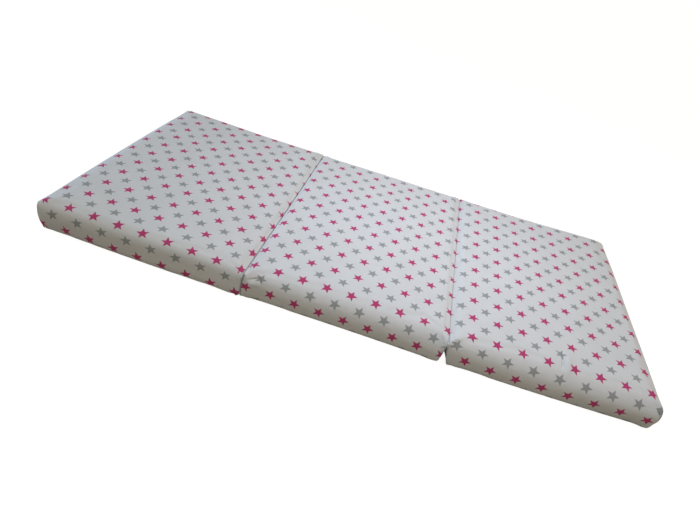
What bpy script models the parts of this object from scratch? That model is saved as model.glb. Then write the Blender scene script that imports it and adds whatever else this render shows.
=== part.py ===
"""Folding travel-cot mattress: three foam panels in zipped cotton covers, joined in a Z by two sewn folds.

Metres, +Z up. X runs along the mattress, from its left panel to its right one. Y runs from the front
side to the back side, which holds the zips. The origin is at the middle panel's centre, on the floor.
"""

import math
from dataclasses import dataclass, replace

import bmesh
import bpy
from mathutils import Vector

# The whole mattress, laid flat
OVERALL_LENGTH = 1.200
OVERALL_WIDTH = 0.600
OVERALL_THICKNESS = 0.060
FOLD_GAP = 0.003

# The soft form of one panel
SOFT_TOP_EDGE_RADIUS = 0.018
CRISP_TOP_EDGE_RADIUS = 0.011
BASE_EDGE_RADIUS = 0.008
CORNER_RADIUS = 0.014
LEAST_CORNER_RADIUS = 0.002
CROWN_HEIGHT = 0.003
SIDE_DRAW_IN = 0.0025

# Cloth, and the room left between pieces that touch
CLOTH_THICKNESS = 0.001
CLEARANCE = 0.0003
BASE_LIP = 0.003

# The sewn folds, and how far each panel's wall leans back from one towards its open side
LEFT_FOLD_LEAN = 0.001
RIGHT_FOLD_LEAN = 0.005
SEAM_ALLOWANCE_DEPTH = 0.010
SEAM_ALLOWANCE_THICKNESS = 0.001

# The zip in the back side of each panel
ZIP_END_MARGIN = 0.006
ZIP_WINDOW_MARGIN = 0.0008
TAPE_THICKNESS = 0.0006
TAPE_EDGE_INSET = 0.0012
TAPE_SEAM_MARGIN = 0.001
TAPE_TAIL = 0.007
COIL_WIDTH = 0.0024
COIL_THICKNESS = 0.0015
STOP_LENGTH = 0.0026
STOP_WALL = 0.0007
STOP_GRIP = 0.0018

# The slider that runs on the zip, and its pull
SLIDER_LENGTH = 0.0105
SLIDER_THROAT_LENGTH = 0.0060
PLATE_THICKNESS = 0.0009
FLANGE_THICKNESS = 0.0008
POST_WIDTH = 0.0016
BRIDGE_WIDTH = 0.0016
BRIDGE_SPAN = 0.0039
BRIDGE_OPENING = 0.0020
BRIDGE_THICKNESS = 0.0009
PULL_LENGTH = 0.0230
PULL_WIDTH = 0.0070
PULL_NECK_WIDTH = 0.0046
PULL_NECK_LENGTH = 0.0070
PULL_THICKNESS = 0.0011
PULL_EDGE_ROUNDING = 0.0002

CUT_OVERRUN = 0.002
BAR_SINK = 0.0003

# Shares of the size that they follow, and numbers of steps
CROWN_REACH_SHARE = 0.66
CROWN_RING_SHARES = (1.0, 0.6, 0.3, 0.1)
FLARE_SHARE = 0.085
FLARE_STEP_SHARES = (0.33, 0.67, 1.0)
FOLD_ARM_ANGLES = (62, 53, 44, 36)
POST_TIP_SHARE = 0.25
PANEL_EDGE_RADII = {
    "left": CRISP_TOP_EDGE_RADIUS,
    "middle": SOFT_TOP_EDGE_RADIUS,
    "right": SOFT_TOP_EDGE_RADIUS,
}
CORNER_STEPS = 4
TOP_EDGE_STEPS = 4
BASE_EDGE_STEPS = 3
ARM_STEPS = 4

# What follows from the sizes above
PANEL_LENGTH = (OVERALL_LENGTH - (len(PANEL_EDGE_RADII) - 1) * FOLD_GAP) / len(PANEL_EDGE_RADII)
PANEL_PITCH = PANEL_LENGTH + FOLD_GAP
FOLD_X = PANEL_PITCH / 2
SHOULDER_Z = OVERALL_THICKNESS - CROWN_HEIGHT
WALL_TOP_Z = SHOULDER_Z - SOFT_TOP_EDGE_RADIUS
LEFT_FOLD_AXIS_Z = -CLEARANCE / 2
RIGHT_FOLD_AXIS_Z = OVERALL_THICKNESS + CLEARANCE / 2

BACK_WALL_Y = OVERALL_WIDTH / 2 - SIDE_DRAW_IN
ZIP_Z = (BASE_EDGE_RADIUS + WALL_TOP_Z) / 2
TAPE_FACE_Y = BACK_WALL_Y - CLOTH_THICKNESS - CLEARANCE
TAPE_BACK_Y = TAPE_FACE_Y - TAPE_THICKNESS
TAPE_WIDTH = (WALL_TOP_Z - BASE_EDGE_RADIUS) / 2 - TAPE_EDGE_INSET - TAPE_SEAM_MARGIN
COIL_BACK_Y = TAPE_FACE_Y + CLEARANCE
COIL_FACE_Y = COIL_BACK_Y + COIL_THICKNESS
COIL_CLOSED_Z = CLEARANCE / 2 + COIL_WIDTH / 2
COIL_PARTED_Z = POST_WIDTH / 2 + CLEARANCE + COIL_WIDTH / 2

BACK_PLATE_Y = TAPE_BACK_Y - CLEARANCE
SLIDER_BACK_Y = BACK_PLATE_Y - PLATE_THICKNESS
FRONT_PLATE_Y = COIL_FACE_Y + CLEARANCE
SLIDER_FACE_Y = FRONT_PLATE_Y + PLATE_THICKNESS
PULL_AXIS_Y = SLIDER_FACE_Y + CLEARANCE + PULL_THICKNESS / 2
THROAT_HALF_WIDTH = COIL_CLOSED_Z + COIL_WIDTH / 2 + CLEARANCE
MOUTH_HALF_WIDTH = COIL_PARTED_Z + COIL_WIDTH / 2 + CLEARANCE
SLIDER_HALF_WIDTH = MOUTH_HALF_WIDTH + FLANGE_THICKNESS
FOAM_BACK_Y = SLIDER_BACK_Y - CLEARANCE


@dataclass(frozen=True)
class Footprint:
    """A panel seen from above, its top edge's radius, and what its sides do.

    Each side is drawn in between its corners. A wall beside a fold leans back from it, towards the top
    where its lean is positive and towards the base where it is negative.
    """

    left: float
    right: float
    front: float
    back: float
    top_radius: float
    left_lean: float = 0.0
    right_lean: float = 0.0
    left_draw: float = 0.0
    right_draw: float = 0.0
    front_draw: float = 0.0
    back_draw: float = 0.0

    def lean_at(self, lean, z):
        """How far a leaning wall stands back at one height. Its rounded edges don't lean."""
        wall_top = SHOULDER_Z - self.top_radius
        height_share = min(max((z - BASE_EDGE_RADIUS) / (wall_top - BASE_EDGE_RADIUS), 0.0), 1.0)
        return lean * height_share if lean > 0 else -lean * (1 - height_share)

    def crown_reach(self):
        """How far the crown's slope runs inwards from the rounded edge."""
        half_width = min(self.right - self.left, self.back - self.front) / 2
        return CROWN_REACH_SHARE * (half_width - self.top_radius)

    def back_flare(self):
        """How far from each corner's arc the back side is still drawing in."""
        return FLARE_SHARE * (self.right - self.left - 2 * CORNER_RADIUS)


@dataclass(frozen=True)
class Finish:
    """The colour, roughness and metallic value of one material."""

    name: str
    colour: tuple
    roughness: float
    metallic: float = 0.0


PRINTED_COTTON = Finish("printed_cotton", (0.80, 0.82, 0.84), 0.85)
FOAM = Finish("polyurethane_foam", (0.86, 0.83, 0.70), 0.95)
ZIP_TAPE = Finish("woven_zip_tape", (0.82, 0.82, 0.82), 0.80)
ZIP_COIL = Finish("nylon_zip_coil", (0.85, 0.85, 0.85), 0.40)
ZIP_METAL = Finish("enamelled_zip_metal", (0.80, 0.80, 0.80), 0.35, 0.2)


def clear_scene():
    """Removes whatever the scene holds."""
    for found in list(bpy.data.objects):
        bpy.data.objects.remove(found)


def material_of(finish):
    """The Principled material of a finish, made once."""
    made = bpy.data.materials.get(finish.name)
    if made:
        return made
    made = bpy.data.materials.new(finish.name)
    made.use_nodes = True
    shader = made.node_tree.nodes["Principled BSDF"]
    shader.inputs["Base Color"].default_value = (*finish.colour, 1.0)
    shader.inputs["Roughness"].default_value = finish.roughness
    shader.inputs["Metallic"].default_value = finish.metallic
    return made


def axis_empty(name, position):
    """An empty on a joint's axis, or at a fixed body's origin."""
    empty = bpy.data.objects.new(name, None)
    empty.location = position
    bpy.context.scene.collection.objects.link(empty)
    return empty


def object_from(bm, name, finish, carrier, position=(0.0, 0.0, 0.0)):
    """An object whose mesh is drawn about position, carried by an empty that isn't turned."""
    bmesh.ops.recalc_face_normals(bm, faces=bm.faces)
    mesh = bpy.data.meshes.new(name)
    bm.to_mesh(mesh)
    bm.free()
    mesh.materials.append(material_of(finish))
    mesh.shade_smooth()
    mesh.set_sharp_from_angle(angle=math.radians(40))
    made = bpy.data.objects.new(name, mesh)
    bpy.context.scene.collection.objects.link(made)
    made.parent = carrier
    made.location = Vector(position) - carrier_position(carrier)
    return made


def carrier_position(carrier):
    """Where an empty is, with those that it hangs from added up."""
    place = Vector((0.0, 0.0, 0.0))
    while carrier is not None:
        place += carrier.location
        carrier = carrier.parent
    return place


def loft(rings):
    """A closed mesh through rings of points, each ring joined to the next and both ends filled."""
    bm = bmesh.new()
    loops = [[bm.verts.new(point) for point in ring] for ring in rings]
    for here, there in zip(loops, loops[1:]):
        for place, corner in enumerate(here):
            bm.faces.new((here[place - 1], corner, there[place], there[place - 1]))
    for end in (loops[0], loops[-1]):
        bmesh.ops.contextual_create(bm, geom=end)
    return bm


def prism(outline, place, near, far):
    """A flat outline pushed straight from near to far. place turns (u, v, depth) into a point."""
    bm = bmesh.new()
    face = bm.faces.new([bm.verts.new(place(u, v, near)) for u, v in outline])
    pushed = bmesh.ops.extrude_face_region(bm, geom=[face])["geom"]
    moved = [item for item in pushed if isinstance(item, bmesh.types.BMVert)]
    way = Vector(place(0.0, 0.0, far)) - Vector(place(0.0, 0.0, near))
    bmesh.ops.translate(bm, verts=moved, vec=way)
    return bm


def along_x(y, z, x):
    """Places an outline drawn in Y and Z."""
    return (x, y, z)


def along_y(x, z, y):
    """Places an outline drawn in X and Z."""
    return (x, y, z)


def along_z(x, y, z):
    """Places an outline drawn in X and Y."""
    return (x, y, z)


def boolean(body, tool, operation):
    """Joins a tool to a body, or cuts the body with it, and leaves the tool out of the render."""
    tool.hide_render = True
    tool.display_type = "WIRE"
    step = body.modifiers.new(f"{operation.lower()}_{tool.name}", "BOOLEAN")
    step.operation = operation
    step.object = tool


def smooth_step(share):
    """0 to 1 with a level start and end."""
    return share * share * (3 - 2 * share)


def drawn_side(start, end, inward, draw):
    """The points of one side from corner to corner: out at the corners, drawn in along the rest."""
    flare = (end - start) * FLARE_SHARE
    leaving = [
        start + flare * share + inward * draw * smooth_step(share) for share in FLARE_STEP_SHARES
    ]
    arriving = [
        end - flare * share + inward * draw * smooth_step(share) for share in reversed(FLARE_STEP_SHARES)
    ]
    return leaving + arriving


def plan_ring(plan, inset, z):
    """The panel's outline at one height, anticlockwise from above, as far inside its footprint as inset."""
    radius = max(CORNER_RADIUS - inset, LEAST_CORNER_RADIUS)
    left = plan.left + plan.lean_at(plan.left_lean, z) + inset + radius
    right = plan.right - plan.lean_at(plan.right_lean, z) - inset - radius
    front, back = plan.front + inset + radius, plan.back - inset - radius
    corners = (
        (Vector((right, front)), -90, Vector((-1, 0)), plan.right_draw),
        (Vector((right, back)), 0, Vector((0, -1)), plan.back_draw),
        (Vector((left, back)), 90, Vector((1, 0)), plan.left_draw),
        (Vector((left, front)), 180, Vector((0, 1)), plan.front_draw),
    )
    points = []
    for place, (centre, first_angle, inward, draw) in enumerate(corners):
        for step in range(CORNER_STEPS + 1):
            turn = math.radians(first_angle + 90 * step / CORNER_STEPS)
            points.append(centre + radius * Vector((math.cos(turn), math.sin(turn))))
        following = corners[(place + 1) % len(corners)][0]
        points += drawn_side(centre - inward * radius, following - inward * radius, inward, draw)
    return [(point.x, point.y, z) for point in points]


def arc_steps(start_angle, end_angle, steps):
    """Angles in radians from one angle in degrees to another."""
    return [math.radians(start_angle + (end_angle - start_angle) * n / steps) for n in range(steps + 1)]


def crown_profile(plan, depth):
    """(inset, height) pairs over the crowned top and its rounded edge, depth below the outer surface."""
    edge_inset, centre_z = plan.top_radius, SHOULDER_Z - plan.top_radius
    crown = [
        (
            edge_inset + share * plan.crown_reach(),
            OVERALL_THICKNESS - depth - CROWN_HEIGHT * (1 - share) ** 2,
        )
        for share in CROWN_RING_SHARES
    ]
    radius = plan.top_radius - depth
    edge = [
        (edge_inset - radius * math.cos(turn), centre_z + radius * math.sin(turn))
        for turn in arc_steps(90, 0, TOP_EDGE_STEPS)
    ]
    return crown + edge


def base_profile(depth):
    """(inset, height) pairs round the lower edge, from the wall to the flat base."""
    radius = BASE_EDGE_RADIUS - depth
    return [
        (BASE_EDGE_RADIUS - radius * math.cos(turn), BASE_EDGE_RADIUS + radius * math.sin(turn))
        for turn in arc_steps(0, -90, BASE_EDGE_STEPS)
    ]


def rings_of(plan, profile):
    """One ring for each (inset, height) pair."""
    return [plan_ring(plan, inset, z) for inset, z in profile]


def upper_cover(name, plan, carrier):
    """The printed cover: top, four sides and the turn under the lower edge, open over the base."""
    lip = BASE_EDGE_RADIUS + BASE_LIP
    outside = crown_profile(plan, 0.0) + base_profile(0.0) + [(lip, 0.0)]
    inside = crown_profile(plan, CLOTH_THICKNESS) + base_profile(CLOTH_THICKNESS)
    inside.append((lip, CLOTH_THICKNESS))
    shell = loft(rings_of(plan, outside) + rings_of(plan, reversed(inside)))
    return object_from(shell, name, PRINTED_COTTON, carrier)


def base_cover(name, plan, carrier):
    """The flat cloth of the underside, sewn inside the upper cover's lip."""
    edge = BASE_EDGE_RADIUS + BASE_LIP + CLEARANCE
    sheet = loft(rings_of(plan, [(edge, CLOTH_THICKNESS), (edge, 0.0)]))
    return object_from(sheet, name, PRINTED_COTTON, carrier)


def foam_core(name, plan, carrier):
    """The foam block, which fills the cover and stands back from the zip."""
    skin = CLOTH_THICKNESS + CLEARANCE
    zip_room = BACK_WALL_Y - skin - FOAM_BACK_Y
    narrowed = replace(plan, back_draw=plan.back_draw + zip_room)
    block = loft(rings_of(narrowed, crown_profile(plan, skin) + base_profile(skin)))
    return object_from(block, name, FOAM, carrier)


def fold_arm(side, centre_z, radius, facing):
    """Points that hug one panel's rounded edge beside a fold, from the far end of the arm inwards."""
    reach = FOLD_GAP / 2 + facing["edge_radius"]
    return [
        (
            side * (reach - radius * math.cos(math.radians(angle))),
            centre_z + facing["up"] * radius * math.sin(math.radians(angle)),
        )
        for angle in facing["angles"]
    ]


def fold_strip(name, fold_x, facing, carrier):
    """The strip of cloth that crosses a fold, with the seam allowance that stands in the gap."""
    up, centre_z = facing["up"], facing["centre_z"]
    hug = facing["edge_radius"] + CLEARANCE
    skin = hug + CLOTH_THICKNESS
    right_face, left_face = (fold_arm(side, centre_z, skin, facing) for side in (1, -1))
    right_back, left_back = (fold_arm(side, centre_z, hug, facing) for side in (1, -1))
    web_z = right_face[-1][1] - up * CLOTH_THICKNESS
    web_x = right_back[-1][0] - CLOTH_THICKNESS
    stem_x = SEAM_ALLOWANCE_THICKNESS / 2
    stem_z = web_z - up * SEAM_ALLOWANCE_DEPTH
    section = (
        left_face
        + right_face[::-1]
        + right_back
        + [(web_x, web_z), (stem_x, web_z), (stem_x, stem_z)]
        + [(-stem_x, stem_z), (-stem_x, web_z), (-web_x, web_z)]
        + left_back[::-1]
    )
    half_length = OVERALL_WIDTH / 2 - SIDE_DRAW_IN - CORNER_RADIUS
    strip = prism(section, along_y, -half_length, half_length)
    return object_from(strip, name, PRINTED_COTTON, carrier, (fold_x, 0.0, 0.0))


def box(x_range, y_range, z_range):
    """A plain box between three pairs of limits."""
    (x0, x1), (y0, y1) = x_range, y_range
    return prism([(x0, y0), (x1, y0), (x1, y1), (x0, y1)], along_z, *z_range)


@dataclass(frozen=True)
class ZipPlaces:
    """Where a panel's zip is along X: its two tape ends, chain ends, stops and the slider's centre."""

    tape_start: float
    tape_end: float
    chain_start: float
    chain_end: float
    slider_x: float
    end_stop_x: float


def zip_places(plan):
    """Fits the zip to the straight stretch of the panel's back side, closed, with its slider at the right."""
    straight = CORNER_RADIUS + plan.back_flare() + ZIP_END_MARGIN
    tape_start, tape_end = plan.left + straight, plan.right - straight
    end_stop_x = tape_start + TAPE_TAIL
    chain_start = end_stop_x + STOP_LENGTH + CLEARANCE
    chain_end = tape_end - TAPE_TAIL - STOP_LENGTH - CLEARANCE
    slider_x = chain_end - SLIDER_LENGTH / 2
    return ZipPlaces(tape_start, tape_end, chain_start, chain_end, slider_x, end_stop_x)


def cut_zip_window(cover, places, carrier):
    """Opens the back wall of the cover over the chain, as wide as the slider needs."""
    half = SLIDER_HALF_WIDTH + ZIP_WINDOW_MARGIN
    window = box(
        (places.end_stop_x - CLEARANCE, places.chain_end + CLEARANCE + STOP_LENGTH + CLEARANCE),
        (TAPE_FACE_Y - CUT_OVERRUN, BACK_WALL_Y + CUT_OVERRUN),
        (ZIP_Z - half, ZIP_Z + half),
    )
    boolean(cover, object_from(window, f"{cover.name}_window", ZIP_TAPE, carrier), "DIFFERENCE")


def zip_tape(name, side, places, carrier):
    """One of the two woven tapes, behind the cover's wall. side is 1 above the chain and -1 below it."""
    edges = sorted((ZIP_Z + side * TAPE_EDGE_INSET, ZIP_Z + side * (TAPE_EDGE_INSET + TAPE_WIDTH)))
    tape = box((places.tape_start, places.tape_end), (TAPE_BACK_Y, TAPE_FACE_Y), edges)
    return object_from(tape, name, ZIP_TAPE, carrier)


def coil_ring(x, z):
    """The eight-sided flattened section of a coil at one station."""
    middle = (COIL_BACK_Y + COIL_FACE_Y) / 2
    turns = [math.radians(22.5 + 45 * n) for n in range(8)]
    to_flat = 1 / math.cos(math.radians(22.5))
    return [
        (
            x,
            middle + COIL_THICKNESS / 2 * to_flat * math.cos(turn),
            z + COIL_WIDTH / 2 * to_flat * math.sin(turn),
        )
        for turn in turns
    ]


def zip_coil(name, side, places, carrier):
    """One half of the chain: straight where it is closed, parted round the slider's post at its end."""
    parting = places.slider_x + SLIDER_LENGTH / 2 - SLIDER_THROAT_LENGTH
    stations = (
        (places.chain_start, COIL_CLOSED_Z),
        (parting, COIL_CLOSED_Z),
        (places.chain_end, COIL_PARTED_Z),
    )
    coil = loft([coil_ring(x, ZIP_Z + side * z) for x, z in stations])
    return object_from(coil, name, ZIP_COIL, carrier)


def top_stop(name, side, places, carrier):
    """A metal clip folded over one tape's edge, which the slider's nose meets when the zip is closed."""
    outer_z, mouth_z = CLEARANCE / 2, TAPE_EDGE_INSET + STOP_GRIP
    slot_z = TAPE_EDGE_INSET - CLEARANCE
    front, back = TAPE_FACE_Y + CLEARANCE, TAPE_BACK_Y - CLEARANCE
    section = [
        (back - STOP_WALL, outer_z), (front + STOP_WALL, outer_z), (front + STOP_WALL, mouth_z),
        (front, mouth_z), (front, slot_z), (back, slot_z), (back, mouth_z), (back - STOP_WALL, mouth_z),
    ]
    placed = [(y, ZIP_Z + side * z) for y, z in section]
    start = places.chain_end + CLEARANCE
    clip = prism(placed, along_x, start, start + STOP_LENGTH)
    return object_from(clip, name, ZIP_METAL, carrier)


def end_stop(name, places, carrier):
    """The clip that holds both tapes together where the open zip's slider stops."""
    mouth_z, web_z = TAPE_EDGE_INSET + STOP_GRIP, TAPE_EDGE_INSET - CLEARANCE
    front, back = TAPE_FACE_Y + CLEARANCE, TAPE_BACK_Y - CLEARANCE
    upper = [(front + STOP_WALL, mouth_z), (front, mouth_z), (front, web_z), (back, web_z), (back, mouth_z),
             (back - STOP_WALL, mouth_z)]
    section = upper + [(y, -z) for y, z in reversed(upper)]
    placed = [(y, ZIP_Z + z) for y, z in section]
    clip = prism(placed, along_x, places.end_stop_x, places.end_stop_x + STOP_LENGTH)
    return object_from(clip, name, ZIP_METAL, carrier)


def slider_half_width(throat_half, mouth_half, x):
    """The half width of the slider, or its channel, at x: even along the throat, wider to the nose."""
    throat_end = SLIDER_LENGTH / 2 - SLIDER_THROAT_LENGTH
    share = min(max((x - throat_end) / SLIDER_THROAT_LENGTH, 0.0), 1.0)
    return throat_half + (mouth_half - throat_half) * share


def forked_channel(throat_half, mouth_half):
    """The Y of the channel in the slider, which leaves the wedge of the post standing at the nose."""
    tail, nose = -SLIDER_LENGTH / 2 - CUT_OVERRUN, SLIDER_LENGTH / 2
    throat_end = nose - SLIDER_THROAT_LENGTH
    tip = throat_end + POST_TIP_SHARE * SLIDER_THROAT_LENGTH
    beyond = nose + CUT_OVERRUN
    upper = [
        (tail, throat_half), (throat_end, throat_half), (nose, mouth_half),
        (beyond, mouth_half), (beyond, POST_WIDTH / 2), (nose, POST_WIDTH / 2),
    ]
    lower = [(x, -z) for x, z in reversed(upper)]
    return upper + [(tip, 0.0)] + lower


def slider_body(name, x, carrier):
    """The zip slider: two bell-shaped plates joined by a post, with flanges that keep the coils in."""
    stations = [SLIDER_LENGTH * (n / 6 - 0.5) for n in range(7)]
    flanged = [
        (x_here, slider_half_width(THROAT_HALF_WIDTH, MOUTH_HALF_WIDTH, x_here) + FLANGE_THICKNESS)
        for x_here in stations
    ]
    outline = flanged + [(x_here, -z) for x_here, z in reversed(flanged)]
    place = (x, 0.0, ZIP_Z)
    body = object_from(
        prism(outline, along_y, SLIDER_BACK_Y, SLIDER_FACE_Y), name, ZIP_METAL, carrier, place
    )
    channel = prism(
        forked_channel(THROAT_HALF_WIDTH, MOUTH_HALF_WIDTH), along_y, TAPE_FACE_Y, FRONT_PLATE_Y
    )
    boolean(body, object_from(channel, f"{name}_channel", ZIP_METAL, carrier, place), "DIFFERENCE")
    beyond = SLIDER_HALF_WIDTH + CUT_OVERRUN
    slots = prism(forked_channel(beyond, beyond), along_y, BACK_PLATE_Y, TAPE_FACE_Y + CLEARANCE)
    boolean(body, object_from(slots, f"{name}_slots", ZIP_METAL, carrier, place), "DIFFERENCE")
    boolean(body, pull_bridge(f"{name}_bridge", carrier, place), "UNION")
    return body


def pull_bridge(name, carrier, place):
    """The arch on the slider's face that the pull hangs on."""
    inner, outer = BRIDGE_SPAN / 2, BRIDGE_SPAN / 2 + BRIDGE_THICKNESS
    foot, roof = SLIDER_FACE_Y - BAR_SINK, SLIDER_FACE_Y + BRIDGE_OPENING
    ridge = roof + BRIDGE_THICKNESS
    shoulder = outer - BRIDGE_THICKNESS
    arch = [
        (-outer, foot), (-inner, foot), (-inner, roof), (inner, roof), (inner, foot), (outer, foot),
        (outer, roof), (shoulder, ridge), (-shoulder, ridge), (-outer, roof),
    ]
    half = BRIDGE_WIDTH / 2
    return object_from(prism(arch, along_z, -half, half), name, ZIP_METAL, carrier, place)


def zip_pull(name, carrier):
    """The pull tab, lying along the closed chain, with its eye bar through the bridge."""
    bar, neck, tab = PULL_THICKNESS / 2, PULL_NECK_WIDTH / 2, PULL_WIDTH / 2
    shoulder = PULL_NECK_LENGTH + tab - neck
    rounding = tab / 2
    upper = [
        (bar, neck), (-PULL_NECK_LENGTH, neck), (-shoulder, tab),
        (rounding - PULL_LENGTH, tab), (-PULL_LENGTH, tab - rounding),
    ]
    outline = upper + [(x, -z) for x, z in reversed(upper)]
    pull = object_from(
        prism(outline, along_y, -PULL_THICKNESS / 2, PULL_THICKNESS / 2),
        name, ZIP_METAL, carrier, carrier_position(carrier),
    )
    ridge_y = SLIDER_FACE_Y + BRIDGE_OPENING + BRIDGE_THICKNESS - PULL_AXIS_Y
    far_corner = math.hypot(BRIDGE_SPAN / 2 + BRIDGE_THICKNESS, ridge_y) + CLEARANCE
    eye_half = BRIDGE_WIDTH / 2 + CLEARANCE
    through = PULL_THICKNESS / 2 + CUT_OVERRUN
    eye = box((-far_corner, -bar), (-through, through), (-eye_half, eye_half))
    boolean(
        pull, object_from(eye, f"{name}_eye", ZIP_METAL, carrier, carrier_position(carrier)), "DIFFERENCE"
    )
    edge = pull.modifiers.new("rounded_edges", "BEVEL")
    edge.width = PULL_EDGE_ROUNDING
    edge.segments = 1
    edge.limit_method = "ANGLE"
    return pull


def build_zip(panel, plan, cover, carrier):
    """The zip of one panel, with its slider and pull each on an empty of their own."""
    places = zip_places(plan)
    cut_zip_window(cover, places, carrier)
    for side, word in ((1, "upper"), (-1, "lower")):
        zip_tape(f"{panel}_zip_{word}_tape", side, places, carrier)
        zip_coil(f"{panel}_zip_{word}_coil", side, places, carrier)
        top_stop(f"{panel}_zip_{word}_top_stop", side, places, carrier)
    end_stop(f"{panel}_zip_end_stop", places, carrier)
    slider_place = Vector((places.slider_x, 0.0, ZIP_Z)) - carrier_position(carrier)
    slider_axis = axis_empty(f"{panel}_slider_axis", slider_place)
    slider_axis.parent = carrier
    slider_body(f"{panel}_zip_slider", places.slider_x, slider_axis)
    pull_axis = axis_empty(f"{panel}_pull_axis", (0.0, PULL_AXIS_Y, 0.0))
    pull_axis.parent = slider_axis
    zip_pull(f"{panel}_zip_pull", pull_axis)


def build_panel(panel, top_radius, centre_x, carrier):
    """One panel: its core, its two cover pieces and its zip. Sides at a fold lean and don't draw in."""
    left_draw, right_draw = {"left": (SIDE_DRAW_IN, 0.0), "right": (0.0, SIDE_DRAW_IN)}.get(panel, (0.0, 0.0))
    left_lean, right_lean = {
        "left": (0.0, LEFT_FOLD_LEAN),
        "middle": (LEFT_FOLD_LEAN, -RIGHT_FOLD_LEAN),
        "right": (-RIGHT_FOLD_LEAN, 0.0),
    }[panel]
    plan = Footprint(
        centre_x - PANEL_LENGTH / 2, centre_x + PANEL_LENGTH / 2, -OVERALL_WIDTH / 2, OVERALL_WIDTH / 2,
        top_radius, left_lean, right_lean, left_draw, right_draw, SIDE_DRAW_IN, SIDE_DRAW_IN,
    )
    foam_core(f"{panel}_foam_core", plan, carrier)
    base_cover(f"{panel}_base_cover", plan, carrier)
    cover = upper_cover(f"{panel}_upper_cover", plan, carrier)
    build_zip(panel, plan, cover, carrier)


def build_mattress():
    """The middle panel stays, the left one turns under it on the lower fold, the right one over it."""
    middle = axis_empty("middle_panel_origin", (0.0, 0.0, 0.0))
    left = axis_empty("left_fold_axis", (-FOLD_X, 0.0, LEFT_FOLD_AXIS_Z))
    right = axis_empty("right_fold_axis", (FOLD_X, 0.0, RIGHT_FOLD_AXIS_Z))
    places = zip(PANEL_EDGE_RADII.items(), (-PANEL_PITCH, 0.0, PANEL_PITCH), (left, middle, right))
    for (panel, top_radius), centre_x, carrier in places:
        build_panel(panel, top_radius, centre_x, carrier)
    lowest_face = (BASE_EDGE_RADIUS - CLEARANCE) / (BASE_EDGE_RADIUS + CLEARANCE + CLOTH_THICKNESS)
    widest = math.degrees(math.asin(lowest_face))
    narrowest = widest / 2
    under = {
        "up": -1,
        "centre_z": BASE_EDGE_RADIUS,
        "edge_radius": BASE_EDGE_RADIUS,
        "angles": [widest + (narrowest - widest) * n / ARM_STEPS for n in range(ARM_STEPS + 1)],
    }
    over = {
        "up": 1,
        "centre_z": WALL_TOP_Z,
        "edge_radius": SOFT_TOP_EDGE_RADIUS,
        "angles": FOLD_ARM_ANGLES,
    }
    fold_strip("left_fold_strip", -FOLD_X, under, middle)
    fold_strip("right_fold_strip", FOLD_X, over, middle)


clear_scene()
build_mattress()
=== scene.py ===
"""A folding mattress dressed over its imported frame.

Three foam panels in zipped covers of star-printed cotton, joined by one fold of cloth above and one below.
Metres, +Z up. X runs along the mattress and Y from its front side to its back side, which holds the zips.
"""

import logging
import math
from dataclasses import dataclass, replace
from enum import Enum
from typing import Sequence

import bmesh
import bpy
import numpy as np
from mathutils import Matrix, Vector
from mathutils.bvhtree import BVHTree
from mathutils.geometry import barycentric_transform, intersect_point_line


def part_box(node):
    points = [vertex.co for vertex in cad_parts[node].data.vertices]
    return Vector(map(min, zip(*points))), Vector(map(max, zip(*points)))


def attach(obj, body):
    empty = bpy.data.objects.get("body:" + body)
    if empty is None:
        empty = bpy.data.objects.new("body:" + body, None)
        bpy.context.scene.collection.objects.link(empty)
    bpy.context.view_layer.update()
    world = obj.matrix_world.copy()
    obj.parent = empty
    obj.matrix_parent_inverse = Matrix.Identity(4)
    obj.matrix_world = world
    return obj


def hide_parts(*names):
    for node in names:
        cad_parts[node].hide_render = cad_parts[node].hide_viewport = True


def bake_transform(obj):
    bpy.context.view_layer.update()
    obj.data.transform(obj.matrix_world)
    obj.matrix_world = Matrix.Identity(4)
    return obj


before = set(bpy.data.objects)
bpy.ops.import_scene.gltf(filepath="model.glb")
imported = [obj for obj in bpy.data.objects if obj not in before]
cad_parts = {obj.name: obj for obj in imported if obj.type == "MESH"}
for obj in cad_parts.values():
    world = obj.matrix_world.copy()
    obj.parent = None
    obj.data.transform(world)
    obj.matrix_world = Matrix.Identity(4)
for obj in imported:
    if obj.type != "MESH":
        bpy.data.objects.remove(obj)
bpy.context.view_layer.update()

MM = 0.001
# How far a free side is drawn in between its corners
DRAW = 2.5 * MM
# How long the foam's pressure is simulated
FILL_FRAMES = 20
log = logging.getLogger("folding_mattress")


# ---------------------------------------------------------------- materials


def linear(hex_code: str) -> tuple[float, float, float, float]:
    """Turn an sRGB hex colour into the linear RGBA that a shader's socket takes."""
    shares = [int(hex_code[place : place + 2], 16) / 255 for place in (1, 3, 5)]
    return (*(s / 12.92 if s <= 0.04045 else ((s + 0.055) / 1.055) ** 2.4 for s in shares), 1.0)


def mm(*lengths: float) -> tuple[float, ...]:
    """Turn lengths in millimetres into metres."""
    return tuple(length * MM for length in lengths)


def adjust(thing: object, **settings: object) -> object:
    """Set a thing's attributes, and give it back."""
    for attribute, value in settings.items():
        setattr(thing, attribute, value)
    return thing


def add(tree: bpy.types.NodeTree, kind: str, feeds: dict | None = None, **settings: object) -> bpy.types.Node:
    """Add one node with its settings and links.

    Args:
        tree: The node tree of a material or of the world.
        kind: The node's type after "ShaderNode".
        feeds: For a socket's name, or its place among those shown, a value or the node or socket to link.
        settings: Attributes to set first, because they decide which sockets the node shows.

    Returns:
        The new node.
    """
    made = adjust(tree.nodes.new(f"ShaderNode{kind}"), **settings)
    shown = [socket for socket in made.inputs if socket.enabled]
    for key, feed in (feeds or {}).items():
        socket = shown[key] if isinstance(key, int) else next(s for s in shown if s.name == key)
        if isinstance(feed, bpy.types.Node):
            feed = next(s for s in feed.outputs if s.enabled)
        if isinstance(feed, bpy.types.NodeSocket):
            tree.links.new(feed, socket)
        else:
            socket.default_value = feed
    return made


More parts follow.
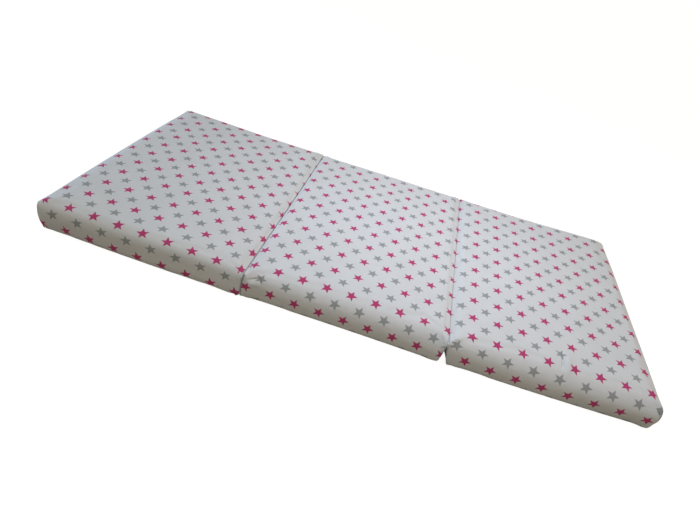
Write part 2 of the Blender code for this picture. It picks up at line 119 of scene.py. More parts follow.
def mottled(tree: bpy.types.NodeTree, hex_code: str, pattern: object, low: float, high: float) -> bpy.types.Node:
    """Make a colour that a pattern darkens and lightens between two levels."""
    level = add(tree, "MapRange", {"Value": pattern, "To Min": low, "To Max": high})
    return add(tree, "VectorMath", {0: linear(hex_code)[:3], "Scale": level}, operation="SCALE")


def blank_material(name: str) -> tuple[bpy.types.Material, bpy.types.NodeTree]:
    """Start a material with an empty node tree."""
    made = bpy.data.materials.new(name)
    made.use_nodes = True
    made.node_tree.nodes.clear()
    return made, made.node_tree


@dataclass(frozen=True)
class PrintedCotton:
    """Plain-woven cotton with a two-colour star print.

    The print is soaked into the yarn, so a star has no edge that stands up and is as matt as the ground.
    Loose fibres give the cloth a faint pale fuzz at grazing angles.
    """

    ground: str = "#D6DBDC"
    pink: str = "#B94277"
    grey: str = "#999FA0"
    repeat_mm: tuple[float, float] = (48.64, 55.86)
    tip_mm: float = 12.3
    notch_mm: float = 5.2
    bleed_mm: float = 0.35
    # The real yarns are about 0.35 mm apart, drawn three times as coarse so that the weave shows
    yarn_mm: float = 1.05

    def star(self, tree: bpy.types.NodeTree, place: bpy.types.Node, shift: float,
             edge: bpy.types.Node) -> bpy.types.Node:
        """Draw one five-pointed star in each repeat of the print.

        Args:
            tree: The material's node tree.
            place: Where a point lies on the print, in repeats.
            shift: Where in the repeat the star's centre is, as a share of it.
            edge: How far the ink has crept along the yarns, in mm.

        Returns:
            A node that is 1 inside the star and 0 outside it.
        """
        moved = add(tree, "VectorMath", {0: place, 1: (0.5 - shift, 0.5 - shift, 0.0)}, operation="ADD")
        cell = add(tree, "VectorMath", {0: moved}, operation="FRACTION")
        centred = add(tree, "VectorMath", {0: cell, 1: (0.5, 0.5, 0.0)}, operation="SUBTRACT")
        point = add(tree, "VectorMath", {0: centred, 1: (*self.repeat_mm, 0.0)}, operation="MULTIPLY")
        axes = add(tree, "SeparateXYZ", {0: point})
        angle = add(tree, "Math", {0: axes.outputs["Y"], 1: axes.outputs["X"]}, operation="ARCTAN2")
        wedge = add(tree, "Math", {0: angle, 1: math.pi / 5, 2: -math.pi / 5}, operation="WRAP")
        arm = add(tree, "Math", {0: wedge}, operation="ABSOLUTE")
        radius = add(tree, "VectorMath", {0: point}, operation="LENGTH")
        cosine = add(tree, "Math", {0: arm}, operation="COSINE")
        sine = add(tree, "Math", {0: arm}, operation="SINE")
        outwards = add(tree, "Math", {0: radius, 1: cosine}, operation="MULTIPLY")
        across = add(tree, "Math", {0: radius, 1: sine}, operation="MULTIPLY")
        notch = Vector((math.cos(math.pi / 5), math.sin(math.pi / 5))) * self.notch_mm
        normal = Vector((notch.y, self.tip_mm - notch.x)).normalized()
        along = add(tree, "Math", {0: outwards, 1: normal.x, 2: -normal.x * self.tip_mm}, operation="MULTIPLY_ADD")
        beyond = add(tree, "Math", {0: across, 1: normal.y, 2: along}, operation="MULTIPLY_ADD")
        crept = add(tree, "Math", {0: beyond, 1: edge}, operation="ADD")
        return add(tree, "MapRange", {"Value": crept, "From Min": self.bleed_mm, "From Max": -self.bleed_mm})

    def make(self) -> bpy.types.Material:
        """Make the material. It reads the piece's own UV map, which counts repeats of the print."""
        made, tree = blank_material("printed_plain_weave_cotton")
        place = add(tree, "UVMap", uv_map="print")
        spot = add(tree, "VectorMath", {0: place, 1: (*self.repeat_mm, 0.0)}, operation="MULTIPLY")
        creep = add(tree, "TexNoise", {"Vector": spot, "Scale": 1.3, "Detail": 1.0}, noise_dimensions="2D")
        edge = add(tree, "MapRange", {"Value": creep.outputs["Fac"], "To Min": -0.45, "To Max": 0.45})
        pink = self.star(tree, place, 0.0, edge)
        grey = self.star(tree, place, 0.5, edge)

        # Uneven bleach and yarn thickness make the ground a little mottled
        blotch = add(tree, "TexNoise", {"Vector": spot, "Scale": 0.018, "Detail": 3.0}, noise_dimensions="2D")
        stretched = add(tree, "VectorMath", {0: spot, 1: (0.06, 0.75, 0.0)}, operation="MULTIPLY")
        slub = add(tree, "TexNoise", {"Vector": stretched, "Scale": 1.0, "Detail": 2.0}, noise_dimensions="2D")
        shade = add(tree, "Math", {0: blotch.outputs["Fac"], 1: slub.outputs["Fac"]}, operation="ADD")
        level = add(tree, "MapRange",
                    {"Value": shade, "From Min": 0.6, "From Max": 1.4, "To Min": 0.955, "To Max": 1.03})
        dyed = add(tree, "Mix", {"Factor": grey, "A": linear(self.ground), "B": linear(self.grey)}, data_type="RGBA")
        printed = add(tree, "Mix", {"Factor": pink, "A": dyed, "B": linear(self.pink)}, data_type="RGBA")
        # Within 1.2 mm of a seam line the colour is darkened by up to 35 percent: painted shade in the seam's groove,
        # on top of the ground's mottling
        seam = add(tree, "Attribute", attribute_name="seam")
        groove = add(tree, "MapRange", {"Value": seam.outputs["Fac"], "From Min": 0.0, "From Max": 1.2,
                                        "To Min": 1.0, "To Max": 0.0})
        mottle_and_seam_shade = add(tree, "Math", {0: groove, 1: -0.35, 2: level}, operation="MULTIPLY_ADD")
        colour = add(tree, "VectorMath", {0: printed, "Scale": mottle_and_seam_shade}, operation="SCALE")

        # Plain weave: each yarn passes over one and under the next
        turns = add(tree, "VectorMath", {0: spot, "Scale": math.pi / self.yarn_mm}, operation="SCALE")
        waves = add(tree, "VectorMath", {0: turns}, operation="SINE")
        crossing = add(tree, "SeparateXYZ", {0: waves})
        weave = add(tree, "Math", {0: crossing.outputs["X"], 1: crossing.outputs["Y"]}, operation="MULTIPLY")
        cloth = add(tree, "Bump", {"Strength": 0.35, "Distance": 0.12 * MM, "Height": weave})
        yarns = add(tree, "Bump", {"Strength": 0.35, "Distance": 0.4 * MM, "Height": slub.outputs["Fac"],
                                   "Normal": cloth})
        slack = add(tree, "TexNoise", {"Vector": spot, "Scale": 0.045, "Detail": 2.0}, noise_dimensions="2D")
        rumpled = add(tree, "Bump", {"Strength": 0.30, "Distance": 3.0 * MM, "Height": slack.outputs["Fac"],
                                     "Normal": yarns})
        stitched = add(tree, "Bump", {"Strength": 0.8, "Distance": 0.8 * MM, "Height": groove, "Normal": rumpled},
                       invert=True)
        shader = add(tree, "BsdfPrincipled", {"Base Color": colour, "Roughness": 0.88, "Specular IOR Level": 0.25,
                                              "Sheen Weight": 0.12, "Sheen Roughness": 0.45, "Normal": stitched})
        add(tree, "OutputMaterial", {"Surface": shader})
        return made


@dataclass(frozen=True)
class WovenTape:
    """Polyester twill tape: matt, with fine slanting ribs that catch the light a little."""

    colour: str = "#DADBD8"
    rib_mm: float = 0.9

    def make(self) -> bpy.types.Material:
        """Make the material."""
        made, tree = blank_material("twill_woven_polyester_tape")
        place = add(tree, "TexCoord")
        turned = add(tree, "Mapping", {"Vector": place.outputs["Object"], "Rotation": (0.0, math.radians(45), 0.0)})
        ribs = add(tree, "TexWave", {"Vector": turned, "Scale": 1 / (self.rib_mm * MM) / math.tau * 2,
                                     "Distortion": 0.4, "Detail": 1.0}, wave_profile="SIN")
        fuzz = add(tree, "TexNoise", {"Vector": place.outputs["Object"], "Scale": 900.0, "Detail": 2.0})
        colour = mottled(tree, self.colour, fuzz.outputs["Fac"], 0.86, 1.06)
        raised = add(tree, "Bump", {"Strength": 0.5, "Distance": 0.15 * MM, "Height": ribs.outputs["Fac"]})
        shader = add(tree, "BsdfPrincipled",
                     {"Base Color": colour, "Roughness": 0.75, "Sheen Weight": 0.1, "Normal": raised})
        add(tree, "OutputMaterial", {"Surface": shader})
        return made


@dataclass(frozen=True)
class CoilFilament:
    """Drawn polyester monofilament, heat-set into a coil: smooth, half clear, with a soft shine."""

    colour: str = "#D9DBDA"

    def make(self) -> bpy.types.Material:
        """Make the material."""
        made, tree = blank_material("polyester_monofilament")
        place = add(tree, "TexCoord")
        haze = add(tree, "TexNoise", {"Vector": place.outputs["Object"], "Scale": 400.0, "Detail": 2.0})
        colour = mottled(tree, self.colour, haze.outputs["Fac"], 0.9, 1.04)
        rough = add(tree, "MapRange", {"Value": haze.outputs["Fac"], "To Min": 0.30, "To Max": 0.45})
        shader = add(tree, "BsdfPrincipled",
                     {"Base Color": colour, "Roughness": rough, "IOR": 1.57, "Coat Weight": 0.15,
                      "Coat Roughness": 0.25})
        add(tree, "OutputMaterial", {"Surface": shader})
        return made


@dataclass(frozen=True)
class EnamelledZinc:
    """Zinc alloy, die-cast and enamelled: an even white skin with a soft shine, worn thin in tiny flecks."""

    enamel: str = "#D8D9D6"
    zinc: str = "#A9ABAD"

    def make(self) -> bpy.types.Material:
        """Make the material."""
        made, tree = blank_material("enamelled_die_cast_zinc")
        place = add(tree, "TexCoord")
        chips = add(tree, "TexNoise", {"Vector": place.outputs["Object"], "Scale": 1500.0, "Detail": 3.0})
        worn = add(tree, "MapRange", {"Value": chips.outputs["Fac"], "From Min": 0.70, "From Max": 0.74})
        colour = add(tree, "Mix", {"Factor": worn, "A": linear(self.enamel), "B": linear(self.zinc)},
                     data_type="RGBA")
        rough = add(tree, "MapRange", {"Value": chips.outputs["Fac"], "To Min": 0.22, "To Max": 0.42})
        skin = add(tree, "Bump", {"Strength": 0.15, "Distance": 0.05 * MM, "Height": chips.outputs["Fac"]})
        shader = add(tree, "BsdfPrincipled", {"Base Color": colour, "Metallic": worn, "Roughness": rough,
                                              "Normal": skin, "Coat Weight": 0.3, "Coat Roughness": 0.15})
        add(tree, "OutputMaterial", {"Surface": shader})
        return made


@dataclass(frozen=True)
class OpenCellFoam:
    """Flexible polyurethane foam, cut from a block: pale cream and matt, pitted with open cells."""

    colour: str = "#E6DFC6"
    cell_mm: float = 1.4

    def make(self) -> bpy.types.Material:
        """Make the material."""
        made, tree = blank_material("open_cell_polyurethane_foam")
        place = add(tree, "TexCoord")
        cells = add(tree, "TexVoronoi", {"Vector": place.outputs["Object"], "Scale": 1 / (self.cell_mm * MM)})
        colour = mottled(tree, self.colour, cells.outputs["Distance"], 0.80, 1.04)
        pits = add(tree, "Bump", {"Strength": 0.6, "Distance": 0.4 * MM, "Height": cells.outputs["Distance"]})
        shader = add(tree, "BsdfPrincipled", {"Base Color": colour, "Roughness": 0.95, "Normal": pits})
        add(tree, "OutputMaterial", {"Surface": shader})
        return made


@dataclass(frozen=True)
class SewingThread:
    """Spun polyester thread: two plies twisted together, a dull white."""

    colour: str = "#E3E4E2"
    twist_mm: float = 0.5

    def make(self) -> bpy.types.Material:
        """Make the material."""
        made, tree = blank_material("spun_polyester_thread")
        place = add(tree, "TexCoord")
        turned = add(tree, "Mapping", {"Vector": place.outputs["Object"], "Rotation": (0.0, math.radians(35), 0.0)})
        plies = add(tree, "TexWave", {"Vector": turned, "Scale": 1 / (self.twist_mm * MM) / math.tau * 2,
                                      "Distortion": 0.5})
        colour = mottled(tree, self.colour, plies.outputs["Fac"], 0.82, 1.03)
        shader = add(tree, "BsdfPrincipled", {"Base Color": colour, "Roughness": 0.7, "Sheen Weight": 0.15})
        add(tree, "OutputMaterial", {"Surface": shader})
        return made


@dataclass(frozen=True)
class Finishes:
    """The materials of the whole mattress, each made once."""

    cotton: bpy.types.Material
    tape: bpy.types.Material
    filament: bpy.types.Material
    zinc: bpy.types.Material
    foam: bpy.types.Material
    thread: bpy.types.Material

    @classmethod
    def mixed(cls) -> "Finishes":
        """Make every material."""
        return cls(PrintedCotton().make(), WovenTape().make(), CoilFilament().make(), EnamelledZinc().make(),
                   OpenCellFoam().make(), SewingThread().make())


# ---------------------------------------------------------------- shared mesh steps


def piece_from(bm: bmesh.types.BMesh, name: str, material: bpy.types.Material) -> bpy.types.Object:
    """Turn a bmesh into a smooth piece at the origin, and free it."""
    mesh = bpy.data.meshes.new(name)
    bm.to_mesh(mesh)
    bm.free()
    mesh.materials.append(material)
    mesh.shade_smooth()
    made = bpy.data.objects.new(name, mesh)
    bpy.context.scene.collection.objects.link(made)
    return made


def read(items: object, attribute: str, width: int = 1, kind: type = float) -> np.ndarray:
    """Read an attribute of a mesh's items, one row for each where it has more than one value."""
    flat = np.zeros(len(items) * width, kind)
    items.foreach_get(attribute, flat)
    return flat.reshape(-1, width) if width > 1 else flat


def points_of(mesh: bpy.types.Mesh) -> np.ndarray:
    """A mesh's points as rows of x, y, z."""
    return read(mesh.vertices, "co", 3)


def set_points(mesh: bpy.types.Mesh, points: np.ndarray) -> None:
    """Move a mesh's points to the given rows."""
    mesh.vertices.foreach_set("co", points.ravel())
    mesh.update()


def modify(piece: bpy.types.Object, name: str, kind: str, **settings: object) -> bpy.types.Modifier:
    """Add a modifier with its settings."""
    return adjust(piece.modifiers.new(name, kind), **settings)


def evaluated(piece: bpy.types.Object) -> bpy.types.Object:
    """A piece as its modifiers leave it."""
    return piece.evaluated_get(bpy.context.evaluated_depsgraph_get())


def bake(piece: bpy.types.Object) -> None:
    """Apply a piece's modifiers to its mesh."""
    before = piece.data
    piece.data = bpy.data.meshes.new_from_object(evaluated(piece))
    piece.data.name = before.name
    piece.modifiers.clear()
    bpy.data.meshes.remove(before)


def boxed(centre: Sequence[float], size: Sequence[float]) -> Matrix:
    """The matrix that puts a unit mesh at a centre with a size."""
    return Matrix.Translation(centre) @ Matrix.Diagonal((*size, 1.0))


def long_edges(bm: bmesh.types.BMesh, axis: int, least: float) -> list[bmesh.types.BMEdge]:
    """The edges that run further than least along an axis."""
    return [edge for edge in bm.edges if abs((edge.verts[0].co - edge.verts[1].co)[axis]) > least]


def eased(share: np.ndarray | float) -> np.ndarray | float:
    """0 to 1 with a level start and end."""
    share = np.clip(share, 0.0, 1.0)
    return share * share * (3 - 2 * share)


def dress(piece: bpy.types.Object, panel: str, node: str = "") -> bpy.types.Object:
    """Make a piece ride on its panel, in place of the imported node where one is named, and give it back."""
    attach(piece, f"{panel}_panel")
    if node:
        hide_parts(node)
    return piece


@dataclass(frozen=True)
class Zone:
    """A box that picks faces by their centres, so that a cut is kept local."""

    low: tuple[float, float, float]
    high: tuple[float, float, float]

    def faces(self, bm: bmesh.types.BMesh) -> list[bmesh.types.BMFace]:
        """The faces whose centre is inside."""
        centres = ((face, face.calc_center_median()) for face in bm.faces)
        return [face for face, c in centres if all(a < b < d for a, b, d in zip(self.low, c, self.high))]

    def cut(self, bm: bmesh.types.BMesh, point: Sequence[float], normal: Sequence[float]) -> None:
        """Cut its faces along a plane."""
        faces = self.faces(bm)
        geom = faces + list({e for f in faces for e in f.edges}) + list({v for f in faces for v in f.verts})
        bmesh.ops.bisect_plane(bm, geom=geom, dist=1e-6, plane_co=point, plane_no=normal)

    def clear(self, bm: bmesh.types.BMesh) -> None:
        """Take its faces away."""
        bmesh.ops.delete(bm, geom=self.faces(bm), context="FACES")


# ---------------------------------------------------------------- the panels


@dataclass(frozen=True)
class StarGrid:
    """How the print lies on one panel.

    x and y are where one pink star is. The cloth was cut a little off its grain: from row to row the stars step
    aside by skew, and from column to column by turn. facing is 1 where the stars point to the right, else -1.
    """

    x: float
    y: float
    skew: float
    turn: float
    facing: int
    column: float
    row: float = 55.5 * MM

    def repeats(self, x: np.ndarray, y: np.ndarray) -> np.ndarray:
        """Count the print's repeats from its star to places on the flat cloth.

        Args:
            x: Places across the cloth, in metres.
            y: Places along it.

        Returns:
            One row of two counts for each place.
        """
        across, along = x - self.x, y - self.y
        whole = self.column * self.row - self.skew * self.turn
        columns = (across * self.row - along * self.skew) / whole
        rows = (along * self.column - across * self.turn) / whole
        return np.stack([columns, rows], axis=1) * self.facing


@dataclass(frozen=True)
class Rumple:
    """A small fold or dent in the cover, along a line from start to end.

    height is how far the cloth stands out there, or sinks where negative. A push moves it to one side as well.
    """

    start: tuple[float, float, float]
    end: tuple[float, float, float]
    width: float
    height: float
    push: tuple[float, float, float] = (0.0, 0.0, 0.0)

    @property
    def sharp(self) -> bool:
        """Whether it is too narrow for the cover's even squares."""
        return self.width < 3 * MM

    def away(self, place: Vector) -> float:
        """How far a place is from the line."""
        nearest, share = intersect_point_line(place, Vector(self.start), Vector(self.end))
        nearest = Vector(self.start).lerp(Vector(self.end), min(max(share, 0.0), 1.0))
        return (place - nearest).length

    def pressed(self, points: np.ndarray, normals: np.ndarray) -> np.ndarray:
        """Move the points near the line.

        Args:
            points: Rows of x, y, z on the cover.
            normals: Which way the cover faces at each.

        Returns:
            How far each point moves.
        """
        start, way = np.array(self.start), np.array(self.end) - np.array(self.start)
        length = float(np.linalg.norm(way))
        share = ((points - start) @ way) / max(length, 1e-9) ** 2 if length > 1e-9 else np.zeros(len(points))
        nearest = start + np.clip(share, 0.0, 1.0)[:, None] * way
        distance = np.linalg.norm(points - nearest, axis=1)
        fading = 1.0 if length < 1e-9 else 0.35 + 0.65 * np.sin(np.clip(share, 0.0, 1.0) * math.pi)
        weight = np.exp(-((distance / self.width) ** 2)) * fading
        return weight[:, None] * (normals * self.height + np.array(self.push))


@dataclass(frozen=True)
class PanelForm:
    """One panel's outline, the radius of its top edge, and what its sides do.

    A lean is how far a wall's base stands back from the fold beside it. A draw is how far a side is pulled in
    between its corners. A swell is how far the cloth stands
    out past the foam at its front corner and at its back corner, and how much more halfway between them. An edge is
    how far in and how far down the rounding of the top's edge reaches on that side. A rise is how much the top
    stands higher near that side, at its front and at its back. A sag is how far the front's lower edge has crept
    out, at the left end, halfway and at the right end, and the belly is how far the front stands out over it.
    """

    name: str
    left: float
    right: float
    front: float
    back: float
    top: float
    grid: StarGrid
    left_lean: float = 0.0
    right_lean: float = 0.0
    left_draw: float = 0.0
    right_draw: float = 0.0
    rumples: tuple[Rumple, ...] = ()
    # Of the straight-sided solid's top edge, before each side gets its own
    edge_radius: float = 18.0 * MM
    # The sides that are sewn to the next panel, -1 for the left one and 1 for the right one
    folds: tuple[int, ...] = ()
    left_swell: tuple[float, float, float] = (0.0, 0.0, 0.0)
    right_swell: tuple[float, float, float] = (0.0, 0.0, 0.0)
    left_edge: tuple[float, float] = (18.0 * MM, 18.0 * MM)
    right_edge: tuple[float, float] = (18.0 * MM, 18.0 * MM)
    front_edge: tuple[float, float] = (18.0 * MM, 18.0 * MM)
    # The front's edge is this tight at its left end, and gets its full size further on
    front_start: tuple[float, float] = (18.0 * MM, 18.0 * MM)
    front_taper: float = 150.0 * MM
    back_edge: tuple[float, float] = (18.0 * MM, 18.0 * MM)
    left_rise: tuple[float, float] = (0.0, 0.0)
    right_rise: tuple[float, float] = (0.0, 0.0)
    lean_top: float = 39.0 * MM
    belly: float = 0.0
    sag: tuple[float, float, float] = (0.0, 0.0, 0.0)
    swell_reach: float = 48.0 * MM
    plumpness: float = 1.2 * MM
    crown: float = 3.0 * MM
    base_radius: float = 5.0 * MM
    # Of the corners seen from above: the left end's front and back one, then the right end's
    corner_radii: tuple[float, ...] = (4.0 * MM,) * 4
    draw: float = DRAW
    flare_share: float = 0.085
    # How sharp the sewn edges are: 0 as round as the foam, 1 square
    crisp: float = 0.8

    @property
    def middle(self) -> float:
        """Where the panel's centre is along X."""
        return (self.left + self.right) / 2

    @property
    def half(self) -> np.ndarray:
        """Half of the panel's length and width."""
        return np.array([self.right - self.left, self.back - self.front]) / 2

    @property
    def shoulder(self) -> float:
        """The height at which the rounded edge meets the crowned top."""
        return self.top - self.crown

    @property
    def wall_top(self) -> float:
        """The height at which the wall meets the rounded edge."""
        return self.shoulder - self.edge_radius

    def profile(self, depth: float) -> list[tuple[float, float]]:
        """Follow a side's section from the base up to the shoulder.

        Args:
            depth: How far inside the panel's surface the section lies.

        Returns:
            Pairs of inset and height.
        """
        low, high = max(self.base_radius - depth, 0.5 * MM), self.edge_radius - depth
        base = [math.radians(90 * step / 4) for step in range(5)]
        edge = [math.radians(90 * step / 6) for step in range(7)]
        section = [(self.base_radius - low * math.sin(a), self.base_radius - low * math.cos(a)) for a in base]
        section += [(self.edge_radius - high * math.cos(a), self.wall_top + high * math.sin(a)) for a in edge]
        return section

    def solid(self, depth: float) -> bmesh.types.BMesh:
        """Raise the panel from its base, ring by ring.

        Args:
            depth: How far inside the panel's surface the solid's surface lies.

        Returns:
            A closed mesh with flat sides and a flat top.
        """
        bm = bmesh.new()
        rings = self.profile(depth)
        reach = self.half - rings[0][0]
        corners = [(-1, -1), (1, -1), (1, 1), (-1, 1)]
        bm.faces.new([bm.verts.new((self.middle + a * reach[0], b * reach[1], rings[0][1])) for a, b in corners])
        for (a, b), radius in zip(((-1, -1), (-1, 1), (1, -1), (1, 1)), self.corner_radii):
            corner = Vector((self.middle + a * reach[0], b * reach[1], rings[0][1]))
            ends = [vert for vert in bm.verts if (vert.co - corner).length < 0.1 * MM]
            bmesh.ops.bevel(bm, geom=ends, offset=radius - self.base_radius / 2, segments=5, profile=0.5,
                            affect="VERTICES", material=-1)
        centre = Matrix.Translation((self.middle, 0.0, 0.0))
        top = bm.faces[:]
        for inset, height in rings[1:]:
            raised = bmesh.ops.extrude_face_region(bm, geom=top)["geom"]
            top = [item for item in raised if isinstance(item, bmesh.types.BMFace)]
            ring = [item for item in raised if isinstance(item, bmesh.types.BMVert)]
            grown = (self.half - inset) / reach
            bmesh.ops.scale(bm, verts=ring, vec=(*grown, 1.0), space=centre.inverted())
            bmesh.ops.translate(bm, verts=ring, vec=(0.0, 0.0, height - ring[0].co.z))
            reach = self.half - inset
        bmesh.ops.holes_fill(bm, edges=[edge for edge in bm.edges if edge.is_boundary], sides=0)
        bmesh.ops.recalc_face_normals(bm, faces=bm.faces[:])
        return bm

    def squared(self, points: np.ndarray, depth: float) -> np.ndarray:
        """Draw the base's edge and the corners beside a fold out to the sharp lines that their seams give them.

        Args:
            points: Rows of x, y, z on the straight-sided solid, its edges rounded by its coarse mesh.
            depth: How far inside the panel's surface the solid's surface lies.

        Returns:
            The moved rows.
        """
        depth = depth
        sign = np.sign(points[:, :2] - (self.middle, 0.0))
        rise = np.clip(points[:, 2] - self.wall_top, 0.0, self.edge_radius)
        inset = depth + self.edge_radius - np.sqrt(self.edge_radius**2 - rise**2)
        room = self.half - np.abs(points[:, :2] - (self.middle, 0.0)) - inset[:, None]
        up = points[:, 2] - depth
        reach = self.base_radius + 4 * MM
        for axis in (0, 1):
            room[:, axis], up = self.sharpened(room[:, axis], up, reach)
        folded = np.isin(sign[:, 0], self.folds)
        corner_x, corner_y = self.sharpened(room[:, 0], room[:, 1], reach)
        room = np.where(folded[:, None], np.stack([corner_x, corner_y], axis=1), room)
        flat = (self.middle, 0.0) + sign * (self.half - inset[:, None] - room)
        # The cloth lies on the floor
        up = up + depth - (depth - 0.3 * MM) * eased(1 - up / (8 * MM))
        return np.column_stack([flat, up])

    def sharpened(self, a: np.ndarray, b: np.ndarray, reach: float) -> tuple[np.ndarray, np.ndarray]:
        """Square off a rounded edge, given how far inside its two faces each point is.

        Args:
            a: How far inside the first face.
            b: How far inside the second.
            reach: How far from the edge the rounding goes.

        Returns:
            The two distances as they become.
        """
        p, q = reach - a, reach - b
        grow = 1 + self.crisp * (np.hypot(p, q) / np.maximum(np.maximum(p, q), 1e-6) - 1)
        grow = np.where((p > 0) & (q > 0), grow, 1.0)
        return reach - p * grow, reach - q * grow

    def shaped(self, points: np.ndarray, crown: float) -> np.ndarray:
        """Give straight-sided points the panel's crown, the draw of its sides and the lean of its walls.

        Args:
            points: Rows of x, y, z on or in the straight-sided solid.
            crown: How far the top's middle stands above its shoulder.

        Returns:
            The moved rows.
        """
        out = points.copy()
        off = points[:, :2] - (self.middle, 0.0)
        share = off / self.half
        flare = self.flare_share * 2 * self.half
        room = self.half - np.abs(off)
        settled = eased(room / flare)
        rise = np.clip((room - self.edge_radius) / (0.66 * (self.half - self.edge_radius)), 0.0, 1.0)
        lift = eased(rise[:, 0]) * eased(rise[:, 1])
        out[:, 2] += crown * lift * eased(points[:, 2] / self.shoulder)
        out[:, 1] -= np.sign(share[:, 1]) * self.draw * settled[:, 0] * eased((np.abs(share[:, 1]) - 0.6) / 0.3)
        deep, far = self.shoulder - points[:, 2], 75 * MM
        opened = eased((points[:, 0] - self.left) / self.front_taper)
        front = [near + (far - near) * opened for near, far in zip(self.front_start, self.front_edge)]
        for axis, sides in ((0, ((-1, self.left_edge), (1, self.right_edge))),
                            (1, ((-1, front), (1, self.back_edge)))):
            for side, (wide, low) in sides:
                inside, radius = room[:, axis], self.edge_radius
                across, up = np.maximum(radius - inside, 0.0), np.maximum(radius - deep, 0.0)
                off_surface = np.hypot(across, up)
                sine = np.where(off_surface > 1e-9, across / np.maximum(off_surface, 1e-9), 1.0)
                cosine = np.sqrt(np.maximum(1 - sine**2, 0.0))
                # Two edges that press together slope down to where they meet, and a free one rolls over
                fall = low * (sine**2 if axis == 0 and side in self.folds else 1 - cosine)
                fall = fall + (radius - off_surface) * cosine
                fall = fall + np.maximum(deep - radius, 0.0) * (self.shoulder - low) / (self.shoulder - radius)
                moved = wide * (1 - sine) + (radius - off_surface) * sine
                moved = moved + np.clip(inside - radius, 0.0, far - radius) * (far - wide) / (far - radius)
                nearer = room[:, 1 - axis] - inside
                weight = eased((side * share[:, axis] - 0.3) / 0.3) * eased(nearer / (16 * MM) + 0.5)
                out[:, 2] += weight * (deep - fall)
                out[:, axis] -= side * weight * np.where(inside < far, moved - inside, 0.0)
        height = np.clip((out[:, 2] - self.base_radius) / (self.lean_top - self.base_radius), 0.0, 1.0)
        # A wall leans most at its corners, where the cloth of two sides pulls on it
        pulled = 0.3 + 0.7 * (1 - eased(room[:, 1] / (45 * MM)))
        for side, lean, draw in ((-1, self.left_lean, self.left_draw), (1, self.right_lean, self.right_draw)):
            back = pulled * (lean * (1 - height))
            weight = eased((side * share[:, 0] - 0.6) / 0.3)
            out[:, 0] -= side * weight * (draw * settled[:, 1] + back)
        return out

    def sewn(self, points: np.ndarray, depth: float) -> np.ndarray:
        """Square off the sewn edges of points that already have the panel's shape.

        Args:
            points: Rows of x, y, z on the shaped panel.
            depth: How far inside the panel's surface they lie.

        Returns:
            The moved rows.
        """
        # Close in on the plain place whose shaped one is the given point, a share of the error at a time
        rounds, gain = 18, 0.7
        plain = points
        for _ in range(rounds):
            plain = plain + gain * (points - self.shaped(plain, self.crown))
        return points + self.shaped(self.squared(plain, depth), self.crown) - self.shaped(plain, self.crown)

    def swollen(self, points: np.ndarray) -> np.ndarray:
        """Push the loose ends out and the top up, as the slack cloth stands over the foam.

        Args:
            points: Rows of x, y, z on or in the shaped panel.

        Returns:
            The moved rows.
        """
        out = points.copy()
        arch = np.clip(1 - (points[:, 1] / self.half[1]) ** 2, 0.0, 1.0)
        back = np.clip(points[:, 1] / self.half[1], -1.0, 1.0) / 2 + 0.5
        up, fore = eased((points[:, 2] - 20 * MM) / (30 * MM)), eased((0.28 - points[:, 1]) / 0.35)
        for side, swell, rise in ((-1, self.left_swell, self.left_rise), (1, self.right_swell, self.right_rise)):
            room = self.half[0] - side * (points[:, 0] - self.middle)
            # Beside a fold the seam holds the base, and only the cloth above it gives way
            least, tall = (0.0, 8 * MM) if side in self.folds else (0.4, 16 * MM)
            tall = least + (1 - least) * np.sin(np.clip((points[:, 2] - 0.3 * MM) / tall, 0.0, 1.0) * math.pi / 2)
            wide = swell[0] + (swell[1] - swell[0]) * back + swell[2] * arch
            out[:, 0] += side * eased(1 - room / self.swell_reach) * wide * tall
            reach = (150 + 110 * (1 - fore)) * MM
            out[:, 2] += (rise[0] * fore + rise[1] * (1 - fore)) * eased(1 - room / reach) * up
        share = np.clip((points[:, 0] - self.middle) / self.half[0], -1.0, 1.0)
        start, halfway, end = self.sag
        crept = halfway + share * (end - start) / 2 + share**2 * ((start + end) / 2 - halfway)
        beside = eased((-points[:, 1] / self.half[1] - 0.8) / 0.15)
        out[:, 1] -= crept * beside * eased(1 - (points[:, 2] - 4 * MM) / (34 * MM))
        out[:, 1] -= self.belly * beside * np.sin(np.clip((points[:, 2] - 3 * MM) / (48 * MM), 0.0, 1.0) * math.pi)
        out[:, 2] += self.plumpness * eased((points[:, 2] - 38.0 * MM) / (18.0 * MM))
        return out

    def cloth_path(self, room: np.ndarray, height: np.ndarray, axis: int, side: int,
                   edge: tuple[float, float]) -> np.ndarray:
        """Measure along the cloth from the panel's middle, over the rounded edge and down the side.

        Args:
            room: How far inside the panel's side each point is, seen from above.
            height: How high it is.
            axis: 0 for the panel's left and right sides, 1 for its front and back.
            side: -1 for the left or front side, 1 for the other one.
            edge: How far in and how far down that side's rounding reaches.

        Returns:
            The length of cloth to each point.
        """
        wide, fall = edge
        half, low, wall_top = self.half[axis], self.base_radius, self.shoulder - fall
        folded = axis == 0 and side in self.folds
        steps = np.linspace(0.0, math.pi / 2, 33)
        curve = np.stack([wide * np.sin(steps), fall * (np.sin(steps) ** 2 if folded else 1 - np.cos(steps))], axis=1)
        lengths = np.concatenate([[0.0], np.cumsum(np.linalg.norm(np.diff(curve, axis=0), axis=1))])
        across = np.clip((wide - room) / wide, 0.0, 1.0)
        over = np.arcsin(across) if folded else np.arctan2(across, np.maximum((height - wall_top) / fall, 1e-6))
        edge = half - np.maximum(room, wide) + np.interp(over, steps, lengths)
        wall = half - wide + lengths[-1] + wall_top - height
        under = np.arctan2(np.maximum(low - height, 0.0), np.maximum(low - room, 1e-6))
        turn = half - wide + lengths[-1] + wall_top - low + low * under + np.maximum(room - low, 0.0)
        return np.where(height > wall_top, edge, np.where(height > low, wall, turn))


@dataclass
class PanelPart:
    """What every sub-assembly of a panel needs: the panel's form and the materials."""

    form: PanelForm
    finishes: Finishes


